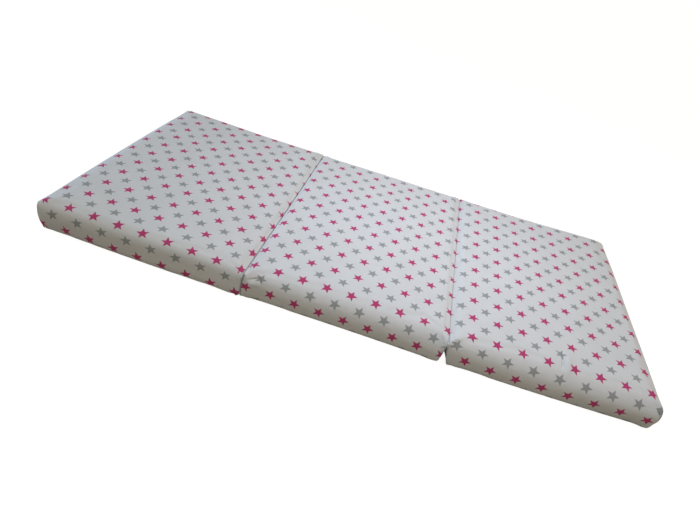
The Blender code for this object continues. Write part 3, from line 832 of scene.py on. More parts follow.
@dataclass
class PrintedCover(PanelPart):
    """A panel's star-printed cover, cut in one with its four sides and sewn down the corners."""

    voxel: float = 6.0 * MM
    slack: float = 1.0 * MM
    cloth: float = 0.8 * MM
    # How far the filled cloth may move: out over open foam, out beside a fold or the zip, in, and along itself
    bulge: float = 3.0 * MM
    close_bulge: float = 1.1 * MM
    give: float = 0.3 * MM
    slide: float = 1.6 * MM
    # How far the cloth turns in under the base, and how near a cut its faces are looked for
    lip: float = 11.0 * MM
    reach: float = 8.0 * MM
    # The zip's opening in the back side: left, right, bottom and top
    window: tuple[float, ...] = (-0.14085, 0.14085, 0.0181, 0.0289)
    piece: bpy.types.Object | None = None

    def cut_out(self) -> bpy.types.Object:
        """Make the closed cover a little smaller than it will be, in even squares, ready to be filled."""
        form = self.form
        slack = self.slack
        piece = piece_from(form.solid(slack), f"{form.name}_printed_cover", self.finishes.cotton)
        modify(piece, "squares", "REMESH", mode="VOXEL", voxel_size=self.voxel, use_smooth_shade=True)
        bake(piece)
        set_points(piece.data, form.shaped(points_of(piece.data), form.crown))
        self.piece = piece
        return piece

    def fill(self) -> None:
        """Put the cloth under the foam's pressure, held along its base."""
        piece = self.piece
        points = points_of(piece.data)
        held = piece.vertex_groups.new(name="held")
        held.add([int(i) for i in np.nonzero(points[:, 2] < 2.5 * MM)[0]], 1.0, "REPLACE")
        step = piece.modifiers.new("foam_pressure", "CLOTH")
        adjust(step.settings, quality=6, mass=0.2, time_scale=1.0, tension_stiffness=25.0, compression_stiffness=25.0,
               shear_stiffness=8.0, bending_stiffness=0.6, vertex_group_mass="held", pin_stiffness=1.0,
               use_pressure=True, uniform_pressure_force=4.0, shrink_min=-0.006)
        step.settings.effector_weights.gravity = 0.0
        step.collision_settings.use_collision = False
        adjust(step.point_cache, frame_start=1, frame_end=FILL_FRAMES)

    def settle(self) -> None:
        """Keep the filled shape, with each point's move capped, and take the simulation off."""
        piece, form = self.piece, self.form
        before, after = points_of(piece.data), points_of(evaluated(piece).data)
        normals = read(piece.data.vertices, "normal", 3)
        piece.modifiers.clear()
        room_left, room_right = before[:, 0] - form.left, form.right - before[:, 0]
        below = before[:, 2] < form.wall_top + 0.6 * form.edge_radius
        hem = 20 * MM
        tight = below & (((room_left < hem) & (form.left_draw == 0)) | ((room_right < hem) & (form.right_draw == 0)))
        tight |= below & (before[:, 1] > form.back - hem)
        most = np.where(tight, self.close_bulge, self.bulge)
        out = np.einsum("ij,ij->i", after - before, normals)
        along = after - before - out[:, None] * normals
        slid = np.maximum(np.linalg.norm(along, axis=1, keepdims=True), 1e-9)
        # The foam behind the cloth lets it out but hardly in
        held = np.where(out > 0, most * np.tanh(out / most), self.give * np.tanh(out / self.give))
        set_points(piece.data, before + held[:,
                                             None] * normals + along * self.slide * np.tanh(slid / self.slide) / slid)

    def open_up(self) -> None:
        """Cut the opening in the base and the zip's window, and slit the corners where they are sewn."""
        form, piece = self.form, self.piece
        modify(piece, "smooth", "SUBSURF", levels=1, render_levels=1)
        bake(piece)
        bm = bmesh.new()
        bm.from_mesh(piece.data)
        far, near, low = math.inf, self.reach, 3 * MM
        left, right = form.left + self.lip, form.right - self.lip
        front, back = form.front + self.lip, form.back - self.lip
        for x in (left, right):
            Zone((x - near, -far, -far), (x + near, far, low)).cut(bm, (x, 0, 0), (1, 0, 0))
        for y in (front, back):
            Zone((-far, y - near, -far), (far, y + near, low)).cut(bm, (0, y, 0), (0, 1, 0))
        Zone((left, front, -far), (right, back, low)).clear(bm)

        x0, x1, z0, z1 = self.window
        x0, x1, wall = x0 + form.middle, x1 + form.middle, form.back - near
        for x in (x0, x1):
            Zone((x - near, wall, z0 - near), (x + near, far, z1 + near)).cut(bm, (x, 0, 0), (1, 0, 0))
        for z in (z0, z1):
            Zone((x0 - near, wall, z0 - near), (x1 + near, far, z1 + near)).cut(bm, (0, 0, z), (0, 0, 1))
        Zone((x0, wall, z0), (x1, far, z1)).clear(bm)

        slit = 30 * MM
        for a in (-1, 1):
            for b in (-1, 1):
                x, y = form.middle + a * form.half[0], b * form.half[1]
                Zone((x - slit, y - slit, -far), (x + slit, y + slit, far)).cut(bm, (x, y, 0.0), (a, -b, 0.0))
        bm.to_mesh(piece.data)
        bm.free()

    def rumple(self) -> None:
        """Swell the cover's loose ends and press its small folds and dents into it."""
        mesh = self.piece.data
        set_points(mesh, self.form.swollen(self.form.sewn(points_of(mesh), self.slack)))
        bm = bmesh.new()
        bm.from_mesh(mesh)
        for fold in [fold for fold in self.form.rumples if fold.sharp] * 2:
            # A crease is narrower than the cloth's squares
            close = [edge for edge in bm.edges if max(fold.away(vert.co) for vert in edge.verts) < 9 * MM]
            bmesh.ops.subdivide_edges(bm, edges=close, cuts=1, use_grid_fill=True)
        bm.to_mesh(mesh)
        bm.free()
        points, normals = points_of(mesh), read(mesh.vertices, "normal", 3)
        for fold in self.form.rumples:
            points = points + fold.pressed(points, normals)
        points[:, 2] = np.maximum(points[:, 2], 0.2 * MM)
        set_points(mesh, points)

    def print_cloth(self) -> None:
        """Lay the print over the cover as on the flat cut, and mark how far each point is from a sewn corner."""
        form, mesh = self.form, self.piece.data
        points = points_of(mesh)
        off = points[:, :2] - (form.middle, 0.0)
        room = form.half - np.abs(off)
        sign = np.sign(off)
        face_room = form.half - np.abs(read(mesh.polygons, "center", 3)[:, :2] - (form.middle, 0.0))
        corners = read(mesh.loops, "vertex_index", kind=int)
        on_end = np.repeat(face_room[:, 0] < face_room[:, 1], read(mesh.polygons, "loop_total", kind=int))
        # The cloth that stands out at a loose end was cut that much longer
        spread = form.swollen(points * (1, 1, 0) + (0, 0, form.top))[:, 0] - points[:, 0]
        left, right, back = (form.cloth_path(room[:, axis], points[:, 2], axis, side, edge)
                             for axis, side,
                             edge in ((0, -1, form.left_edge), (0, 1, form.right_edge), (1, 1, form.back_edge)))
        tight, wide = (form.cloth_path(room[:, 1], points[:, 2], 1, -1, edge)
                       for edge in (form.front_start, form.front_edge))
        path_x = form.middle + np.where(sign[:, 0] < 0, -left, right) + spread
        opened = eased((points[:, 0] - form.left) / form.front_taper)
        path_y = np.where(sign[:, 1] < 0, -tight - (wide - tight) * opened, back)
        ends = form.grid.repeats(path_x, points[:, 1])[corners]
        sides = form.grid.repeats(points[:, 0] + spread, path_y)[corners]
        layer = mesh.uv_layers.new(name="print")
        layer.uv.foreach_set("vector", np.where(on_end[:, None], ends, sides).astype(np.float32).ravel())

        # The material darkens the cloth within 1.2 mm of this seam line: painted shade in the sewn corner's groove
        sewn = np.abs(room[:, 0] - room[:, 1]) / math.sqrt(2) / MM
        at_corner = (room.max(axis=1) < 20 * MM) & (points[:, 2] < form.wall_top + 0.4 * form.edge_radius)
        seam = mesh.attributes.new("seam", "FLOAT", "POINT")
        seam.data.foreach_set("value", np.where(at_corner, sewn, 10.0).astype(np.float32))

    def thicken(self) -> None:
        """Give the cloth its thickness, inwards from the printed face."""
        modify(self.piece, "cloth_thickness", "SOLIDIFY", thickness=self.cloth, offset=-1.0)

    def put_on(self) -> None:
        """Make the cover ride on its panel in place of the plain solid."""
        dress(self.piece, self.form.name, f"{self.form.name}_upper_cover")
        self.piece.data.materials[0] = self.finishes.cotton


@dataclass
class BaseCloth(PanelPart):
    """The sheet of the same cotton that closes a cover underneath, sewn in round the edge of its opening."""

    thickness: float = 0.8 * MM

    def build(self) -> bpy.types.Object:
        """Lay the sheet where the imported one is, in squares, with its grain along the panel."""
        form = self.form
        low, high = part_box(f"{form.name}_base_cover")
        centre, half = (low + high) / 2, (high - low) / 2
        bm = bmesh.new()
        bmesh.ops.create_grid(bm, x_segments=40, y_segments=58, size=1.0,
                              matrix=boxed((centre.x, centre.y, high.z), (half.x, half.y, 1.0)))
        layer = bm.loops.layers.uv.new("print")
        for face in bm.faces:
            for loop in face.loops:
                spot = form.grid.repeats(np.array([loop.vert.co.x]), np.array([loop.vert.co.y]))[0]
                loop[layer].uv = spot
        seam = bm.verts.layers.float.new("seam")
        for vert in bm.verts:
            room = min(half.x - abs(vert.co.x - centre.x), half.y - abs(vert.co.y - centre.y))
            # The material darkens the sheet within 1.2 mm of its edge: painted shade along the seam
            vert[seam] = room / MM
            # Cloth stretched over foam sits a hair higher between its sewn edges
            vert.co.z += 0.5 * MM * eased(room / (60 * MM))
        bmesh.ops.reverse_faces(bm, faces=bm.faces[:])
        piece = piece_from(bm, f"{form.name}_base_cloth", self.finishes.cotton)
        modify(piece, "cloth_thickness", "SOLIDIFY", thickness=self.thickness, offset=1.0)
        dress(piece, form.name, f"{form.name}_base_cover")
        return piece


@dataclass
class FoamBlock(PanelPart):
    """The foam inside a cover, cut with rounded edges and standing back from the zip."""

    voxel: float = 9.0 * MM
    depth: float = 3.4 * MM
    corner: float = 16.0 * MM
    zip_face: float = 0.2938

    def build(self) -> bpy.types.Object:
        """Cut the block."""
        form = self.form
        block = replace(form, corner_radii=(self.corner,) * 4)
        piece = piece_from(block.solid(self.depth), f"{form.name}_foam_block", self.finishes.foam)
        modify(piece, "squares", "REMESH", mode="VOXEL", voxel_size=self.voxel, use_smooth_shade=True)
        modify(piece, "smooth", "SUBSURF", levels=1, render_levels=1)
        bake(piece)
        points = form.swollen(form.shaped(points_of(piece.data), form.crown))
        points[:, 1] = np.minimum(points[:, 1], self.zip_face)
        set_points(piece.data, points)
        if not piece.data.materials:
            piece.data.materials.append(self.finishes.foam)
        dress(piece, form.name, f"{form.name}_foam_core")
        return piece


# ---------------------------------------------------------------- the zips


@dataclass
class Zip(PanelPart):
    """A panel's zip: two tapes, two coils, the enamelled metal, and the stitches that hold it to the cover."""

    centre_z: float = 23.5 * MM
    coil_y: float = 297.25 * MM
    coil_depth: float = 1.5 * MM
    coil_width: float = 2.4 * MM
    # How far each coil lies from the middle of the zip, closed and at the open end of the slider's throat
    closed: float = 1.35 * MM
    parted: float = 2.3 * MM
    throat: float = 6.0 * MM
    # 210 turns, 1.3 mm apart, wound in lengths that are joined end to end
    turns_wound: int = 15
    lengths_joined: int = 14
    filament: float = 0.28 * MM
    stitch: float = 2.1 * MM
    stitch_gap: float = 0.9 * MM
    thread: float = 0.26 * MM
    # The seam round the window: how far it runs to each side, and the heights of its two rows
    seam_half: float = 0.1443
    seam_rows: tuple[float, float] = (0.0149, 0.0321)

    def tape(self, half: str) -> bpy.types.Object:
        """Weave one tape: a flat strip with soft edges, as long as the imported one."""
        node = f"{self.form.name}_zip_{half}_tape"
        low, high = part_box(node)
        bm = bmesh.new()
        size = high - low
        bmesh.ops.create_cube(bm, size=1.0, matrix=boxed((low + high) / 2, size))
        bmesh.ops.bevel(bm, geom=long_edges(bm, 0, size.x / 2), offset=0.2 * MM, segments=2, profile=0.5,
                        affect="EDGES", material=-1)
        bmesh.ops.subdivide_edges(bm, edges=long_edges(bm, 0, size.x / 2), cuts=60, use_grid_fill=True)
        bmesh.ops.recalc_face_normals(bm, faces=bm.faces[:])
        piece = piece_from(bm, f"{node}_woven", self.finishes.tape)
        dress(piece, self.form.name, node)
        return piece

    def coil(self, half: str) -> bpy.types.Object:
        """Wind one coil: a filament in flattened turns, parted from its partner round the slider's post."""
        side = 1 if half == "upper" else -1
        node = f"{self.form.name}_zip_{half}_coil"
        low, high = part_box(node)
        start, end = low.x + self.filament, high.x - self.filament
        steps, length = self.turns_wound * 8, (end - start) / self.lengths_joined
        bm = bmesh.new()
        across = self.coil_depth / 2 - self.filament
        centre = Vector((start, self.coil_y, self.centre_z))
        ring = bmesh.ops.create_circle(bm, segments=5, radius=self.filament, cap_ends=False,
                                       matrix=Matrix.Translation(centre + Vector((0, across, 0))))["verts"]
        edges = list({edge for vert in ring for edge in vert.link_edges})
        bmesh.ops.spin(bm, geom=ring + edges, cent=centre, axis=(1.0, 0.0, 0.0),
                       angle=side * math.tau * self.turns_wound,
                       steps=steps, dvec=(length / steps, 0.0, 0.0), use_merge=False)
        piece = piece_from(bm, f"{node}_wound", self.finishes.filament)
        modify(piece, "lengths", "ARRAY", count=self.lengths_joined, use_relative_offset=False,
               use_constant_offset=True, constant_offset_displace=(length, 0.0, 0.0),
               use_merge_vertices=True, merge_threshold=0.01 * MM)
        bake(piece)
        bm = bmesh.new()
        bm.from_mesh(piece.data)
        bmesh.ops.holes_fill(bm, edges=[edge for edge in bm.edges if edge.is_boundary], sides=0)
        wider = (self.coil_width / 2 - self.filament) / across
        parting = high.x - self.throat
        for vert in bm.verts:
            away = self.closed + (self.parted - self.closed) * max((vert.co.x - parting) / self.throat, 0.0)
            vert.co.z = self.centre_z + side * away + (vert.co.z - self.centre_z) * wider
        bmesh.ops.recalc_face_normals(bm, faces=bm.faces[:])
        bm.to_mesh(piece.data)
        bm.free()
        return dress(piece, self.form.name, node)

    def enamel(self) -> None:
        """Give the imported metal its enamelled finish."""
        for part in ("upper_top_stop", "lower_top_stop", "end_stop", "slider", "pull"):
            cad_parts[f"{self.form.name}_zip_{part}"].data.materials[0] = self.finishes.zinc

    def stitches(self, cover: bpy.types.Object) -> bpy.types.Object:
        """Sew the tapes in: a row of thread stitches above and below the window, and one across each end."""
        skin = BVHTree.FromObject(cover, bpy.context.evaluated_depsgraph_get())
        bm = bmesh.new()
        pace = self.stitch + self.stitch_gap
        middle, half, rows = self.form.middle, self.seam_half, self.seam_rows
        runs = [[Vector((middle + x, 0, z)) for x in (-half, half)] for z in rows]
        runs += [[Vector((middle + x, 0, z)) for z in rows] for x in (-half, half)]
        for first, last in runs:
            way = last - first
            turned = Matrix.Identity(4) if abs(way.x) > abs(way.z) else Matrix.Rotation(math.pi / 2, 4, "Y")
            for count in range(int(way.length / pace)):
                spot = first + way.normalized() * (count + 0.5) * pace
                hit = skin.ray_cast(Vector((spot.x, self.form.back + 0.05, spot.z)), Vector((0, -1, 0)))[0]
                if hit is None:
                    continue
                size = Matrix.Diagonal((self.stitch / 2, self.thread, self.thread, 1.0))
                bmesh.ops.create_icosphere(bm, subdivisions=1, radius=1.0,
                                           matrix=Matrix.Translation(hit) @ turned @ size)
        piece = piece_from(bm, f"{self.form.name}_zip_stitches", self.finishes.thread)
        return dress(piece, self.form.name)

    def build(self, cover: bpy.types.Object) -> list[bpy.types.Object]:
        """Make every piece of the zip.

        Args:
            cover: The cover that the zip is sewn into.

        Returns:
            The pieces.
        """
        self.enamel()
        made = [self.tape(half) for half in ("upper", "lower")] + [self.coil(half) for half in ("upper", "lower")]
        return made + [self.stitches(cover)]


# ---------------------------------------------------------------- the folds


class FoldFace(Enum):
    """The face of the mattress that a fold's cloth crosses."""

    TOP = 1
    BASE = -1


class Skin:
    """A cover's printed face beside a fold, to be felt for its height and its print."""

    def __init__(self, cover: PrintedCover, x: float, reach: float) -> None:
        """Keep the triangles of the cover that are near the fold.

        Args:
            cover: The cover.
            x: Where the fold is along the mattress.
            reach: How far from it the triangles are wanted.
        """
        mesh = cover.piece.data
        mesh.calc_loop_triangles()
        verts, loops = (read(mesh.loop_triangles, part, 3, int) for part in ("vertices", "loops"))
        corners = points_of(mesh)[verts]
        close = np.abs(corners[:, :, 0] - x).max(axis=1) < reach
        self.corners = corners[close]
        self.prints = read(mesh.uv_layers["print"].uv, "vector", 2)[loops][close]
        count = len(self.corners)
        self.tree = BVHTree.FromPolygons(self.corners.reshape(-1, 3).tolist(),
                                         np.arange(3 * count).reshape(-1, 3).tolist())

    def felt(self, x: float, y: float, up: int) -> tuple[float, float, float]:
        """Feel for the cover from above, or from below where up is -1.

        Args:
            x: Where to feel, along the mattress.
            y: And across it.
            up: 1 for the top, -1 for the base.

        Returns:
            The height and the two counts of the print there, or three times not a number where nothing is felt.
        """
        start = Vector((x, y, 0.1 if up > 0 else -0.1))
        hit, _, index, _ = self.tree.ray_cast(start, Vector((0, 0, -up)), 0.075 if up > 0 else 0.104)
        if hit is None:
            return (math.nan,) * 3
        corners = [Vector(c) for c in self.corners[index]]
        spot = barycentric_transform(hit, *corners, *(Vector((*p, 0.0)) for p in self.prints[index]))
        return hit.z, spot.x, spot.y


@dataclass(frozen=True)
class FoldCloth:
    """The two covers' cloth where they are sewn together across a fold, with the seam allowance in the gap."""

    name: str
    face: FoldFace
    left: PrintedCover
    right: PrintedCover
    x: float
    reach: float
    touch: float
    dip: float
    half_length: float
    allowance: float = 8.0 * MM
    lift: float = 0.18 * MM
    tuck: float = 0.35 * MM
    thickness: float = 0.7 * MM
    rows: int = 170
    # How far the seam lies below the panels' tops, or above their bases
    roots: tuple[float, float] = (9.0 * MM, 4.5 * MM)
    # The seam allowance: its two edges' thickness, its waves' heights and rates, and the print's repeat on it
    two_edges: float = 1.1 * MM
    ripples: tuple[tuple[float, float], ...] = ((0.2 * MM, 61.0), (0.1 * MM, 173.0))
    repeat: tuple[float, float] = (0.05, 0.0581)

    def line(self, skin: Skin, across: float) -> np.ndarray:
        """Follow a cover along the fold, or a little further from it where the cover's wall stands back.

        Args:
            skin: The cover's surface.
            across: How far from the fold the line runs.

        Returns:
            A row of height and print counts for each place along the fold.
        """
        places = np.linspace(-self.half_length, self.half_length, self.rows + 1)
        tries = [[self.x + across + math.copysign(step * 0.7 * MM, across) for step in range(6)]] * len(places)
        found = np.array([max((skin.felt(x, y, self.face.value) for x in row),
                              key=lambda felt: not math.isnan(felt[0]))
                          for row, y in zip(tries, places)])
        known = ~np.isnan(found[:, 0])
        for column in range(3):
            found[:, column] = np.interp(places, places[known], found[known, column])
        found[:, 0] = np.convolve(np.pad(found[:, 0], 1, mode="edge"), np.full(3, 1 / 3), mode="valid")
        return found

    def sheet(self) -> bpy.types.Object:
        """Lay the cloth from one cover's rounded edge over to the other's, down to the seam between them."""
        up, columns = self.face.value, 20
        skins = {side: Skin(cover, self.x, 2 * self.reach) for side, cover in ((-1, self.left), (1, self.right))}
        grids = {-1: self.left.form.grid, 1: self.right.form.grid}
        lines = {}
        for side in (-1, 1):
            for step in range(columns // 2 + 1):
                across = max(self.reach * step / (columns // 2), self.touch)
                lines[side * step if step else (0, side)] = self.line(skins[side], side * across)
        bm = bmesh.new()
        bmesh.ops.create_grid(bm, x_segments=columns, y_segments=self.rows, size=1.0,
                              matrix=boxed((self.x, 0.0, 0.0), (self.reach, self.half_length, 1.0)))
        mark = bm.verts.layers.float.new("seam")
        seats = {}
        for vert in bm.verts:
            across = vert.co.x - self.x
            step = round(across / self.reach * (columns // 2))
            row = round((vert.co.y / self.half_length + 1) * self.rows / 2)
            seats[vert.index] = (step, row)
            # The material darkens the cloth within 1.2 mm of the fold's middle: painted shade in the seam's groove
            vert[mark] = abs(across) / MM
            if step == 0:
                beside = (lines[0, -1][row, 0] + lines[0, 1][row, 0]) / 2
            else:
                beside = lines[step][row, 0]
            if abs(across) >= self.touch:
                share = (self.reach - abs(across)) / (self.reach - self.touch)
                vert.co.z = beside + up * (self.lift - (self.lift + self.tuck) * (1 - float(eased(4 * share))))
            else:
                vert.co.z = beside + up * (self.lift - self.dip * (1 - (abs(across) / self.touch) ** 1.3))
        layer = bm.loops.layers.uv.new("print")
        for face in bm.faces:
            side = -1 if face.calc_center_median().x < self.x else 1
            grid = grids[side]
            for loop in face.loops:
                step, row = seats[loop.vert.index]
                spot = lines[step if step else (0, side)][row, 1:]
                more = max(self.touch - abs(loop.vert.co.x - self.x), 0.0) * math.hypot(self.touch,
                                                                                        self.dip) / self.touch
                # Towards the fold the print runs on along the top, and back again along the base
                run = -side * more * up
                loop[layer].uv = spot + grid.repeats(np.array([grid.x + run]), np.array([grid.y]))[0]
        if up < 0:
            bmesh.ops.reverse_faces(bm, faces=bm.faces[:])
        piece = piece_from(bm, f"{self.name}_cloth", self.left.finishes.cotton)
        modify(piece, "smooth", "SUBSURF", levels=1, render_levels=1)
        modify(piece, "cloth_thickness", "SOLIDIFY", thickness=self.thickness, offset=-1.0)
        return piece

    def seam_allowance(self) -> bpy.types.Object:
        """Stand the two trimmed cloth edges in the gap, under the seam."""
        up = self.face.value
        root = self.left.form.shoulder - self.roots[0] if up > 0 else self.roots[1]
        bm = bmesh.new()
        middle = Vector((self.x, 0.0, root - up * self.allowance / 2))
        size = (self.two_edges, 2 * self.half_length, self.allowance)
        bmesh.ops.create_cube(bm, size=1.0, matrix=boxed(middle, size))
        bmesh.ops.subdivide_edges(bm, edges=long_edges(bm, 1, self.half_length), cuts=80, use_grid_fill=True)
        places = np.array([vert.co for vert in bm.verts])
        shifts = [cover.form.swollen(places)[:, 0] - places[:, 0] for cover in (self.left, self.right)]
        for vert, shift in zip(bm.verts, (shifts[0] + shifts[1]) / 2):
            free = abs(vert.co.z - root) / self.allowance
            wave = sum(size * free * math.sin(vert.co.y * rate) for size, rate in self.ripples)
            vert.co.x += wave + shift
        layer = bm.loops.layers.uv.new("print")
        for face in bm.faces:
            for loop in face.loops:
                loop[layer].uv = (0.25 + (loop.vert.co.z - root) / self.repeat[0], loop.vert.co.y / self.repeat[1])
        seam = bm.verts.layers.float.new("seam")
        for vert in bm.verts:
            vert[seam] = 10.0
        bmesh.ops.bevel(bm, geom=[e for e in bm.edges if e.is_boundary or e.calc_face_angle(0.0) > 1.0],
                        offset=0.2 * MM, segments=2, profile=0.5, affect="EDGES", material=-1)
        return piece_from(bm, f"{self.name}_seam_allowance", self.left.finishes.cotton)

    def build(self) -> list[bpy.types.Object]:
        """Make the cloth and its seam allowance between the two panels."""
        made = [self.sheet(), self.seam_allowance()]
        for piece in made:
            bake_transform(piece)
        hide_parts(f"{self.name}_strip")
        return made


# ---------------------------------------------------------------- the room


@dataclass(frozen=True)
class Lamp:
    """A soft square studio lamp, or a round hooded one where its cone's angle is given."""

    name: str
    place: tuple[float, float, float]
    aim: tuple[float, float, float]
    width: float
    watts: float
    colour: str
    cone: float = 0.0

    def hang(self) -> None:
        """Hang the lamp and point it."""
        light = bpy.data.lights.new(self.name, "SPOT" if self.cone else "AREA")
        if self.cone:
            light.spot_size, light.spot_blend, light.shadow_soft_size = math.radians(self.cone), 1.0, self.width
        else:
            light.shape, light.size = "SQUARE", self.width
        light.energy, light.color = self.watts, linear(self.colour)[:3]
        made = bpy.data.objects.new(self.name, light)
        made.location = self.place
        made.rotation_euler = (Vector(self.aim) - Vector(self.place)).to_track_quat("-Z", "Y").to_euler()
        bpy.context.scene.collection.objects.link(made)


@dataclass(frozen=True)
class Room:
    """A plain pale floor under soft studio lamps, seen as the photograph sees it."""

    lamps: tuple[Lamp, ...] = (
        Lamp("overhead_softbox", (0.3, 0.0, 1.4), (0.3, 0.0, 0.0), 0.8, 6.4, "#F7F3FF"),
        Lamp("skylit_window", (-3.0, 0.6, 0.8), (0.0, 0.0, 0.0), 1.8, 40.3, "#9ACFFF"),
        Lamp("hooded_lamp", (0.05, 0.1, 2.0), (0.1, 0.0, 0.0), 0.3, 51.4, "#E7ECFF", 34.0),
    )
    fill: str = "#FFF2DE"
    fill_level: float = 0.40
    floor_colour: str = "#A39A8C"
    # Share of the floor's own look in its picture, so that its shadow stays faint, and the level of the white
    floor_share: float = 0.50
    floor_white: float = 1.90

    def seen_directly(self, tree: bpy.types.NodeTree) -> bpy.types.Node:
        """1 for what the camera sees, also in a mirror or through glass."""
        path = add(tree, "LightPath")
        first = add(tree, "Math", {0: path.outputs["Is Camera Ray"], 1: path.outputs["Is Glossy Ray"]},
                    operation="ADD")
        return add(tree, "Math", {0: first, 1: path.outputs["Is Transmission Ray"]}, operation="ADD", use_clamp=True)

    def lay_floor(self) -> None:
        """Lay the floor: pale matt paper, white to the camera and still taking the mattress's shadow."""
        made, tree = blank_material("matt_backdrop_paper")
        grain = add(tree, "TexNoise",
                    {"Vector": add(tree, "TexCoord").outputs["Object"], "Scale": 60.0, "Detail": 2.0})
        colour = mottled(tree, self.floor_colour, grain.outputs["Fac"], 0.98, 1.02)
        paper = add(tree, "BsdfDiffuse", {"Color": colour})
        white = add(tree, "Emission", {"Color": (1.0, 1.0, 1.0, 1.0), "Strength": self.floor_white})
        share = add(tree, "Math", {0: self.seen_directly(tree), 1: 1 - self.floor_share}, operation="MULTIPLY")
        mixed = add(tree, "MixShader", {0: share, 1: paper, 2: white})
        add(tree, "OutputMaterial", {"Surface": mixed})
        bm = bmesh.new()
        bmesh.ops.create_grid(bm, x_segments=2, y_segments=2, size=30.0, matrix=Matrix.Translation((0, 0, -0.0002)))
        floor = piece_from(bm, "floor", made)

    def set_world(self) -> None:
        """Fill the room with a plain low light, and show the camera white beyond the floor."""
        world = bpy.data.worlds.new("studio")
        world.use_nodes = True
        tree = world.node_tree
        tree.nodes.clear()
        fill = add(tree, "Background", {"Color": linear(self.fill), "Strength": self.fill_level})
        white = add(tree, "Background", {"Color": (1.0, 1.0, 1.0, 1.0), "Strength": 1.0})
        mixed = add(tree, "MixShader", {0: self.seen_directly(tree), 1: fill, 2: white})
        add(tree, "OutputWorld", {"Surface": mixed})
        bpy.context.scene.world = world

    def place_camera(self) -> None:
        """Stand the camera where the photographer stood, near the mattress's front side, tilted to its right."""
        data = bpy.data.cameras.new("camera")
        data.sensor_width, data.lens = 36.0, 25.818
        data.clip_start, data.clip_end = 0.01, 100.0
        made = bpy.data.objects.new("camera", data)
        right = Vector((0.94961, 0.21138, 0.23141))
        up = Vector((-0.31094, 0.54255, 0.78036))
        back = Vector((0.03940, -0.81300, 0.58094))
        turned = Matrix((right, up, back)).transposed().to_4x4()
        made.matrix_world = Matrix.Translation((0.02099, -0.99415, 0.65087)) @ turned
        bpy.context.scene.collection.objects.link(made)
        bpy.context.scene.camera = made

    def build(self) -> None:
        """Set up the floor, the light and the camera."""
        self.lay_floor()
        self.set_world()
        for lamp in self.lamps:
            lamp.hang()
        self.place_camera()
        bpy.context.scene.view_settings.view_transform = "Standard"


# ---------------------------------------------------------------- the mattress


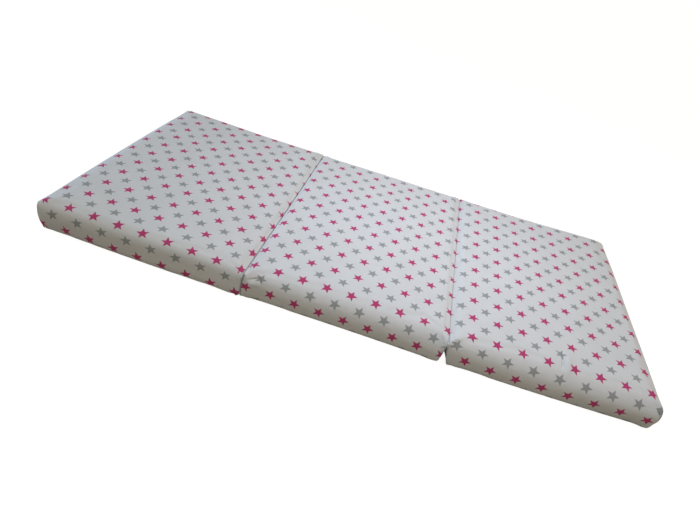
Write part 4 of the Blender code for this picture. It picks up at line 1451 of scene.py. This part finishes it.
def panel_forms() -> dict[str, PanelForm]:
    """Read each panel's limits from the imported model, and add what the plain solid doesn't say."""
    kinds = {
        "left": dict(
            grid=StarGrid(-0.3955, -0.05982, 0.0017, -0.0007, -1, 49.7 * MM), folds=(1,), left_draw=DRAW,
            left_swell=mm(12.5, 4, 5), right_swell=mm(7, 7, 0), left_edge=mm(14, 6), right_edge=mm(17, 5),
            front_edge=mm(21, 21), front_start=mm(21, 21), back_edge=mm(14, 13), left_rise=mm(3, 4.8),
            right_rise=mm(-3, 0), belly=0.5 * MM, corner_radii=mm(8, 3, 4, 4), sag=mm(-5, 2.6, 4.2)),
        "middle": dict(
            grid=StarGrid(0.0096, -0.04323, 0.0009, -0.00005, 1, 47.95 * MM), folds=(-1, 1), right_lean=4 * MM,
            left_swell=mm(-1.9, -1.9, 0), right_swell=mm(2.4, 2.4, 0), left_edge=mm(14, 4), right_edge=mm(18, 6),
            front_edge=mm(32, 34), belly=2 * MM, left_rise=mm(-3, 0), right_rise=mm(-1.5, 0), sag=mm(2.8, 0.8, 3.8),
            # A pucker beside the left fold: two short dents over a roll of cloth
            rumples=(Rumple((-0.1835, -0.2950, 0.0420), (-0.1645, -0.2900, 0.0500), 2.4 * MM, -2.8 * MM),
                     Rumple((-0.1645, -0.2900, 0.0500), (-0.1615, -0.2945, 0.0435), 2.4 * MM, -2.0 * MM),
                     Rumple((-0.1830, -0.2990, 0.0340), (-0.1630, -0.2975, 0.0400), 4.5 * MM, 2.8 * MM))),
        "right": dict(
            grid=StarGrid(0.3920, -0.04360, 0.0008, 0.00096, 1, 49.13 * MM), folds=(-1,), left_lean=10 * MM,
            right_draw=DRAW, left_swell=mm(2.3, 2.3, 0), right_swell=mm(7, 6, 5), left_edge=mm(18, 6),
            right_edge=mm(18, 11), front_edge=mm(34, 36), left_rise=mm(-1.5, 0), right_rise=mm(0, 6),
            belly=3.5 * MM, corner_radii=mm(4, 4, 14, 20), sag=mm(2.4, 0.8, -6.5),
            # A crease across the front's rounding with a soft roll beside it, and the far corner's pulled tip
            rumples=(Rumple((0.4172, -0.2300, 0.0610), (0.4140, -0.2900, 0.0565), 2.4 * MM, -3.4 * MM),
                     Rumple((0.4285, -0.2280, 0.0610), (0.4250, -0.2860, 0.0565), 8.0 * MM, 3.4 * MM),
                     Rumple((0.5950, -0.2960, 0.0040), (0.5950, -0.2960, 0.0040), 9.0 * MM, 0.0, mm(2, -6, 0)))),
    }
    forms = {}
    for name, kind in kinds.items():
        low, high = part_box(f"{name}_upper_cover")
        forms[name] = PanelForm(name, low.x, high.x, low.y, high.y, high.z, **kind)
    return forms


def fill_covers(covers: list[PrintedCover]) -> None:
    """Run the cloth simulation on every cover at once, and keep what it gives."""
    scene = bpy.context.scene
    scene.frame_start, scene.frame_end = 1, FILL_FRAMES
    for cover in covers:
        cover.fill()
    for count in range(1, FILL_FRAMES + 1):
        scene.frame_set(count)
    for cover in covers:
        cover.settle()
    scene.frame_set(1)


def main() -> None:
    """Build every sub-assembly in order, and report each piece."""
    logging.basicConfig(level=logging.INFO, format="%(message)s")
    finishes = Finishes.mixed()
    forms = panel_forms()
    covers = {name: PrintedCover(form, finishes) for name, form in forms.items()}
    for cover in covers.values():
        cover.cut_out()
    fill_covers(list(covers.values()))
    for name, cover in covers.items():
        cover.open_up()
        cover.print_cloth()
        cover.rumple()
        cover.thicken()
        cover.put_on()
        log.info("%s: %d points", cover.piece.name, len(cover.piece.data.vertices))
        for made in (BaseCloth(forms[name], finishes).build(), FoamBlock(forms[name], finishes).build(),
                     *Zip(forms[name], finishes).build(cover.piece)):
            log.info("%s: %d points", made.name, len(made.data.vertices))
    top = FoldCloth("right_fold", FoldFace.TOP, covers["middle"], covers["right"], 200.5 * MM,
                    reach=9.5 * MM, touch=4.0 * MM, dip=1.8 * MM, half_length=0.2975)
    base = FoldCloth("left_fold", FoldFace.BASE, covers["left"], covers["middle"], -200.5 * MM,
                     reach=5.6 * MM, touch=3.4 * MM, dip=1.6 * MM, half_length=0.2970)
    for made in top.build() + base.build():
        log.info("%s: %d points", made.name, len(made.data.vertices))
    Room().build()


if __name__ == "__main__":
    main()
